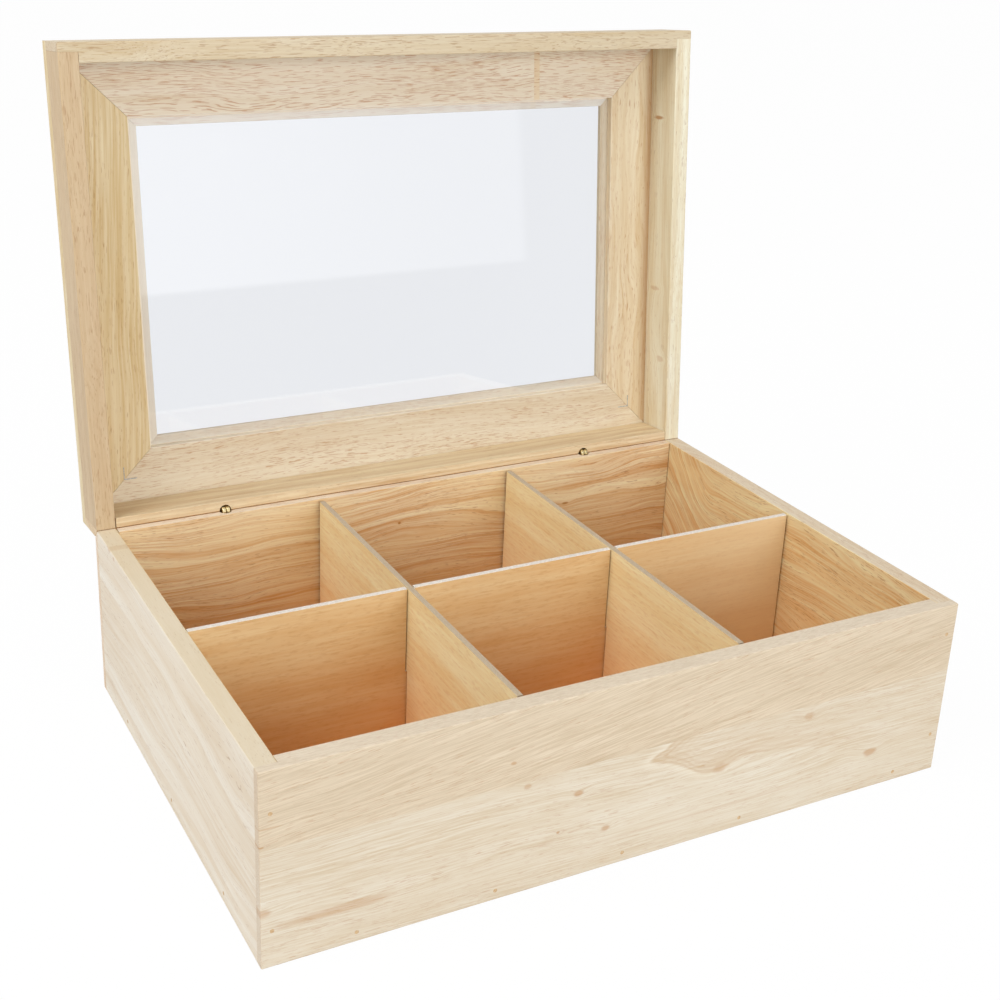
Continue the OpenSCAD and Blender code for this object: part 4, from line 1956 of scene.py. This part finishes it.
    def mirrored_room(self) -> None:
        """Stands up what the pane mirrors: a bright window over a dim room.

        It is a flat wall in front of the box that shows on rays off gloss alone. The window
        ends at a sill and at a right-hand jamb, and its light falls off to the right.
        """
        material, sheet = new_material("mirrored room")
        x, _, z = sheet.split(sheet.spot())
        above = sheet.spread(z, self.sill - 3 * MM, self.sill + 3 * MM)
        inside = sheet.spread(x, self.jamb - 6 * MM, self.jamb + 6 * MM, 1.0, 0.0)
        bright = sheet.spread(x, 0.0, self.jamb, 1.0, 0.6)
        left, right = sheet.spread(x, 0.05, 0.28, 0.06, 0.0), sheet.spread(x, 0.33, 0.45, 0.0, 0.1)
        dim = sheet.sums("ADD", left, right)
        lift = sheet.sums("SUBTRACT", bright, dim)
        strength = sheet.sums("MULTIPLY_ADD", sheet.product(above, inside), lift, dim)
        glow = sheet.out("Emission", {0: WHITE, 1: strength})
        path = sheet.node("LightPath").outputs
        gloss = sheet.sums("GREATER_THAN", path["Is Glossy Ray"], path["Is Transmission Ray"])
        sheet.finish(sheet.mixed(gloss, sheet.clear(), glow))
        outline = box_corners(-self.room_x, self.room_x, 0, self.room_z)
        corners = [(x, self.room_y, z) for x, z in outline]
        wall = self.flat("mirrored_room", corners, material)

    def build(self) -> None:
        """Sets up the whole studio."""
        bpy.context.scene.view_settings.view_transform = "Standard"
        self.camera()
        self.world()
        self.floor()
        self.mirrored_room()
        for lamp in self.lamps:
            self.lamp(*lamp)
        LOG.info("studio is set")


# ---- The finishes of this box ----

FRONT_FIGURES = (
    Figure(-30.1, 40.2, 2.8, 1.7, 0.55, 1.5),
    Figure(-15.9, 19.5, 2.6, 1.5, 0.5, 1.2),
    Figure(-38.7, 24.0, 1.0, 0.8, 0.6, 0.5),
    Figure(-54.0, 50.0, 2.2, 1.6, 0.35, 1.0),
    Figure(-60.9, 62.5, 1.6, 1.0, 0.5, 0.8),
    Figure(124.3, 19.4, 4.5, 2.4, 0.5, 2.5, 0.5),
    Figure(86.0, 47.5, 3.5, 2.4, 0.35, 2.0, 0.6),
    Figure(40.0, 33.5, 5.0, 2.6, 0.35, 2.0, 0.6),
    Figure(-161.0, 61.8, 7.0, 0.5, 0.35, 0.0),
    Figure(-164.4, 54.2, 1.8, 0.5, 0.6, 0.0),
    Figure(-165.0, 25.0, 5.0, 2.2, 0.4, 1.0),
    Figure(-134.0, 17.5, 28.0, 2.4, 0.35, 1.0, 0.5),
    Figure(36.0, 13.2, 85.0, 1.0, 0.15, 0.0, 0.4),
)
BACK_FIGURES = (
    Figure(-10.4, 65.6, 1.0, 0.9, 1.0, 1.0),
    Figure(89.4, 60.3, 2.6, 0.8, 0.9, 1.0),
)
LEFT_FIGURES = (
    Figure(88.0, 86.0, 3.0, 2.0, 0.35, 0.0),
    Figure(80.0, 84.5, 2.0, 1.2, 0.4, 0.0),
)
LID_RIGHT_FIGURES = (
    Figure(-68.0, 101.0, 1.2, 5.0, 0.8, 2.0, 0.4),
    Figure(25.0, 101.0, 1.6, 5.0, 0.35, 2.0, 0.5),
    Figure(64.0, 94.0, 2.2, 4.0, 0.3, 2.0, 0.5),
)
FAR_PITH = (170.0, -40.0)
# The inner palettes below are partly each board's own tone and partly painted warm shade.
WOODS = {
    "front_board": Rubberwood(
        ("#e7e0d1", "#cfb998", "#dfd3be"), 1.0,
        inner=("#faeecd", "#cf9a60", "#f1d6a5"),
        streak=0.12, fibre=0.65, fineness=1.8, spacing=4.0,
        slant=0.01, stave_slant=-0.14, wander=2.4,
        pores=0.4, pore_depth=0.35, pore_colour="#b98252",
        seams=((1, 52.6),), staves=("#e5d0b2", "#c1ac8e"), painted_top_shading=(0.15, "#fff6e8"),
        figures=FRONT_FIGURES,
        flame=Flame(3.8, 46.0, (0.0, 6.5, 13.6, 10.0, 11.3, 14.0), 81.0),
    ),
    "back_board": Rubberwood(
        ("#f8f0e1", "#dab78e", "#f0e1c9"), 2.0,
        inner=("#faf3d2", "#d29d63", "#f4dba9"),
        streak=0.55, fibre=0.45, patch=0.15, spacing=2.4, pith=FAR_PITH, wander=6.0,
        pores=0.3, pore_colour="#a5622e", figures=BACK_FIGURES, crease="#a4661f",
    ),
    "left_board": Rubberwood(
        ("#f3ede1", "#d7bf9d", "#ebdec9"), 3.0,
        inner=("#faf5cb", "#d6a465", "#f5dea9"),
        streak=0.5, fibre=0.2, spacing=9.0, pith=FAR_PITH,
        pores=0.1, figures=LEFT_FIGURES, painted_top_shading=(0.5, "#d8c49c"),
    ),
    "right_board": Rubberwood(
        ("#f3e7d5", "#d8b48d", "#ebd8be"), 4.0,
        inner=("#faf7cd", "#d9a566", "#f8e0ab"),
        streak=0.55, spacing=3.0, pith=FAR_PITH, pores=0.4, pore_colour="#a5622e",
        figures=(Figure(112.0, 50.0, 16.0, 300.0, 0.0, -38.0, 0.0),), painted_top_shading=(0.3, "#cdc7aa"),
    ),
    "bottom_panel": Rubberwood(("#f2d9ae", "#d8ac74", "#e8c896"), 5.0),
    "lid_front_board": Rubberwood(
        ("#dfd4bb", "#c9b188", "#d8c6a7"), 6.0, pores=0.8, pore_size=1.2
    ),
    "lid_back_board": Rubberwood(
        ("#f5e9ca", "#cca97c", "#e8d2aa"), 7.0,
        streak=0.55, spacing=6.0, pores=0.15, crease="#a4661f",
    ),
    "lid_left_board": Rubberwood(
        ("#d7c19f", "#c2a47d", "#d0b68f"), 8.0, pores=0.7, pore_size=1.2
    ),
    "lid_right_board": Rubberwood(
        ("#f7f5e2", "#d6bf93", "#ebe1c2"), 9.0, pores=0.2, figures=LID_RIGHT_FIGURES
    ),
    "frame_front_rail": Rubberwood(
        ("#eee8d8", "#d7c3a3", "#e3d4bf"), 10.0,
        pores=1.0, pore_size=1.4, pore_depth=0.55, pore_colour="#b4733f",
        seams=((0, 83.0), (0, 86.2)), staves=("#dec398", "#dec398"), painted_lip_light=(79.4, 113.3, 0.55),
    ),
    "frame_back_rail": Rubberwood(
        ("#ece5d2", "#d4be9b", "#e3d4ba"), 11.0, fibre=0.5, wander=3.0,
        pores=0.7, pore_size=0.9, pore_colour="#b4773f", painted_lip_light=(79.4, 113.3, 0.28),
    ),
    "frame_left_stile": Rubberwood(
        ("#ede0be", "#d0b37c", "#e4d1a7"), 12.0,
        streak=0.5, fibre=0.6, fineness=0.9, spacing=2.5, slant=0.06, wander=2.0,
        pores=0.3, pore_colour="#a8703a", painted_lip_light=(130.9, 113.3, 0.65),
    ),
    "frame_right_stile": Rubberwood(
        ("#ece2c9", "#d3b88d", "#e2d0af"), 13.0, fibre=0.5, spacing=3.0,
        pores=0.5, pore_colour="#b4773f", painted_lip_light=(130.9, 113.3, 0.1),
        # This figure is a band of painted shade beside the right rim board, not a knot.
        figures=(Figure(0.0, 157.0, 300.0, 6.0, 0.6, 0.0, 0.1, 0.1),),
    ),
}
OTHER_FINISHES = {
    # The long divider's foil is a deeper, more orange copy of the cross dividers' foil: painted
    # shade.
    "long_divider": (
        "long divider foil",
        BeechFoil(1.0, "#eed2a2", "#e0b47a", "#c48a4c", "#fbf5ec", painted_end_light=0.5),
    ),
    "left_cross_divider": ("left cross divider foil", BeechFoil(2.0)),
    "right_cross_divider": ("right cross divider foil", BeechFoil(3.0)),
    "putty": ("putty", Putty()),
    "pane": ("clear pane", ClearPane()),
    "brass": ("hinge brass", Metal("#f8ecc4", "#d8c286", 0.34)),
    "steel": ("nail steel", Metal("#c9ccd0", "#9da1a6", 0.3)),
}


def finishes() -> Materials:
    """Makes every material of the box.

    Returns:
        Materials by the name of the node or part that they dress.
    """
    named = {node: (f"{node.replace('_', ' ')} wood", wood) for node, wood in WOODS.items()}
    return {key: finish.build(name) for key, (name, finish) in (named | OTHER_FINISHES).items()}


def dress_hidden_nodes(steel: bpy.types.Material) -> None:
    """Gives the nails and pins that stay as the CAD made them their steel.

    Args:
        steel: the material.
    """
    for name in ("corner_brads", "bottom_brads", "lid_brads", "left_hinge_pin", "right_hinge_pin"):
        mesh = frame["nodes"][name].data
        mesh.materials.clear()
        mesh.materials.append(steel)


def main() -> None:
    """Builds the studio, the materials and every sub-assembly in order."""
    logging.basicConfig(level=logging.INFO, format="%(name)s: %(message)s")
    Studio().build()
    materials = finishes()
    boards = Boards()
    hinges = BarrelHinges()
    Body(boards).build(materials, hinges.mouths(False))
    DividerInsert().build(materials)
    Lid(boards).build(materials, hinges.mouths(True))
    hinges.build(materials["brass"])
    dress_hidden_nodes(materials["steel"])


if __name__ == "__main__":
    main()
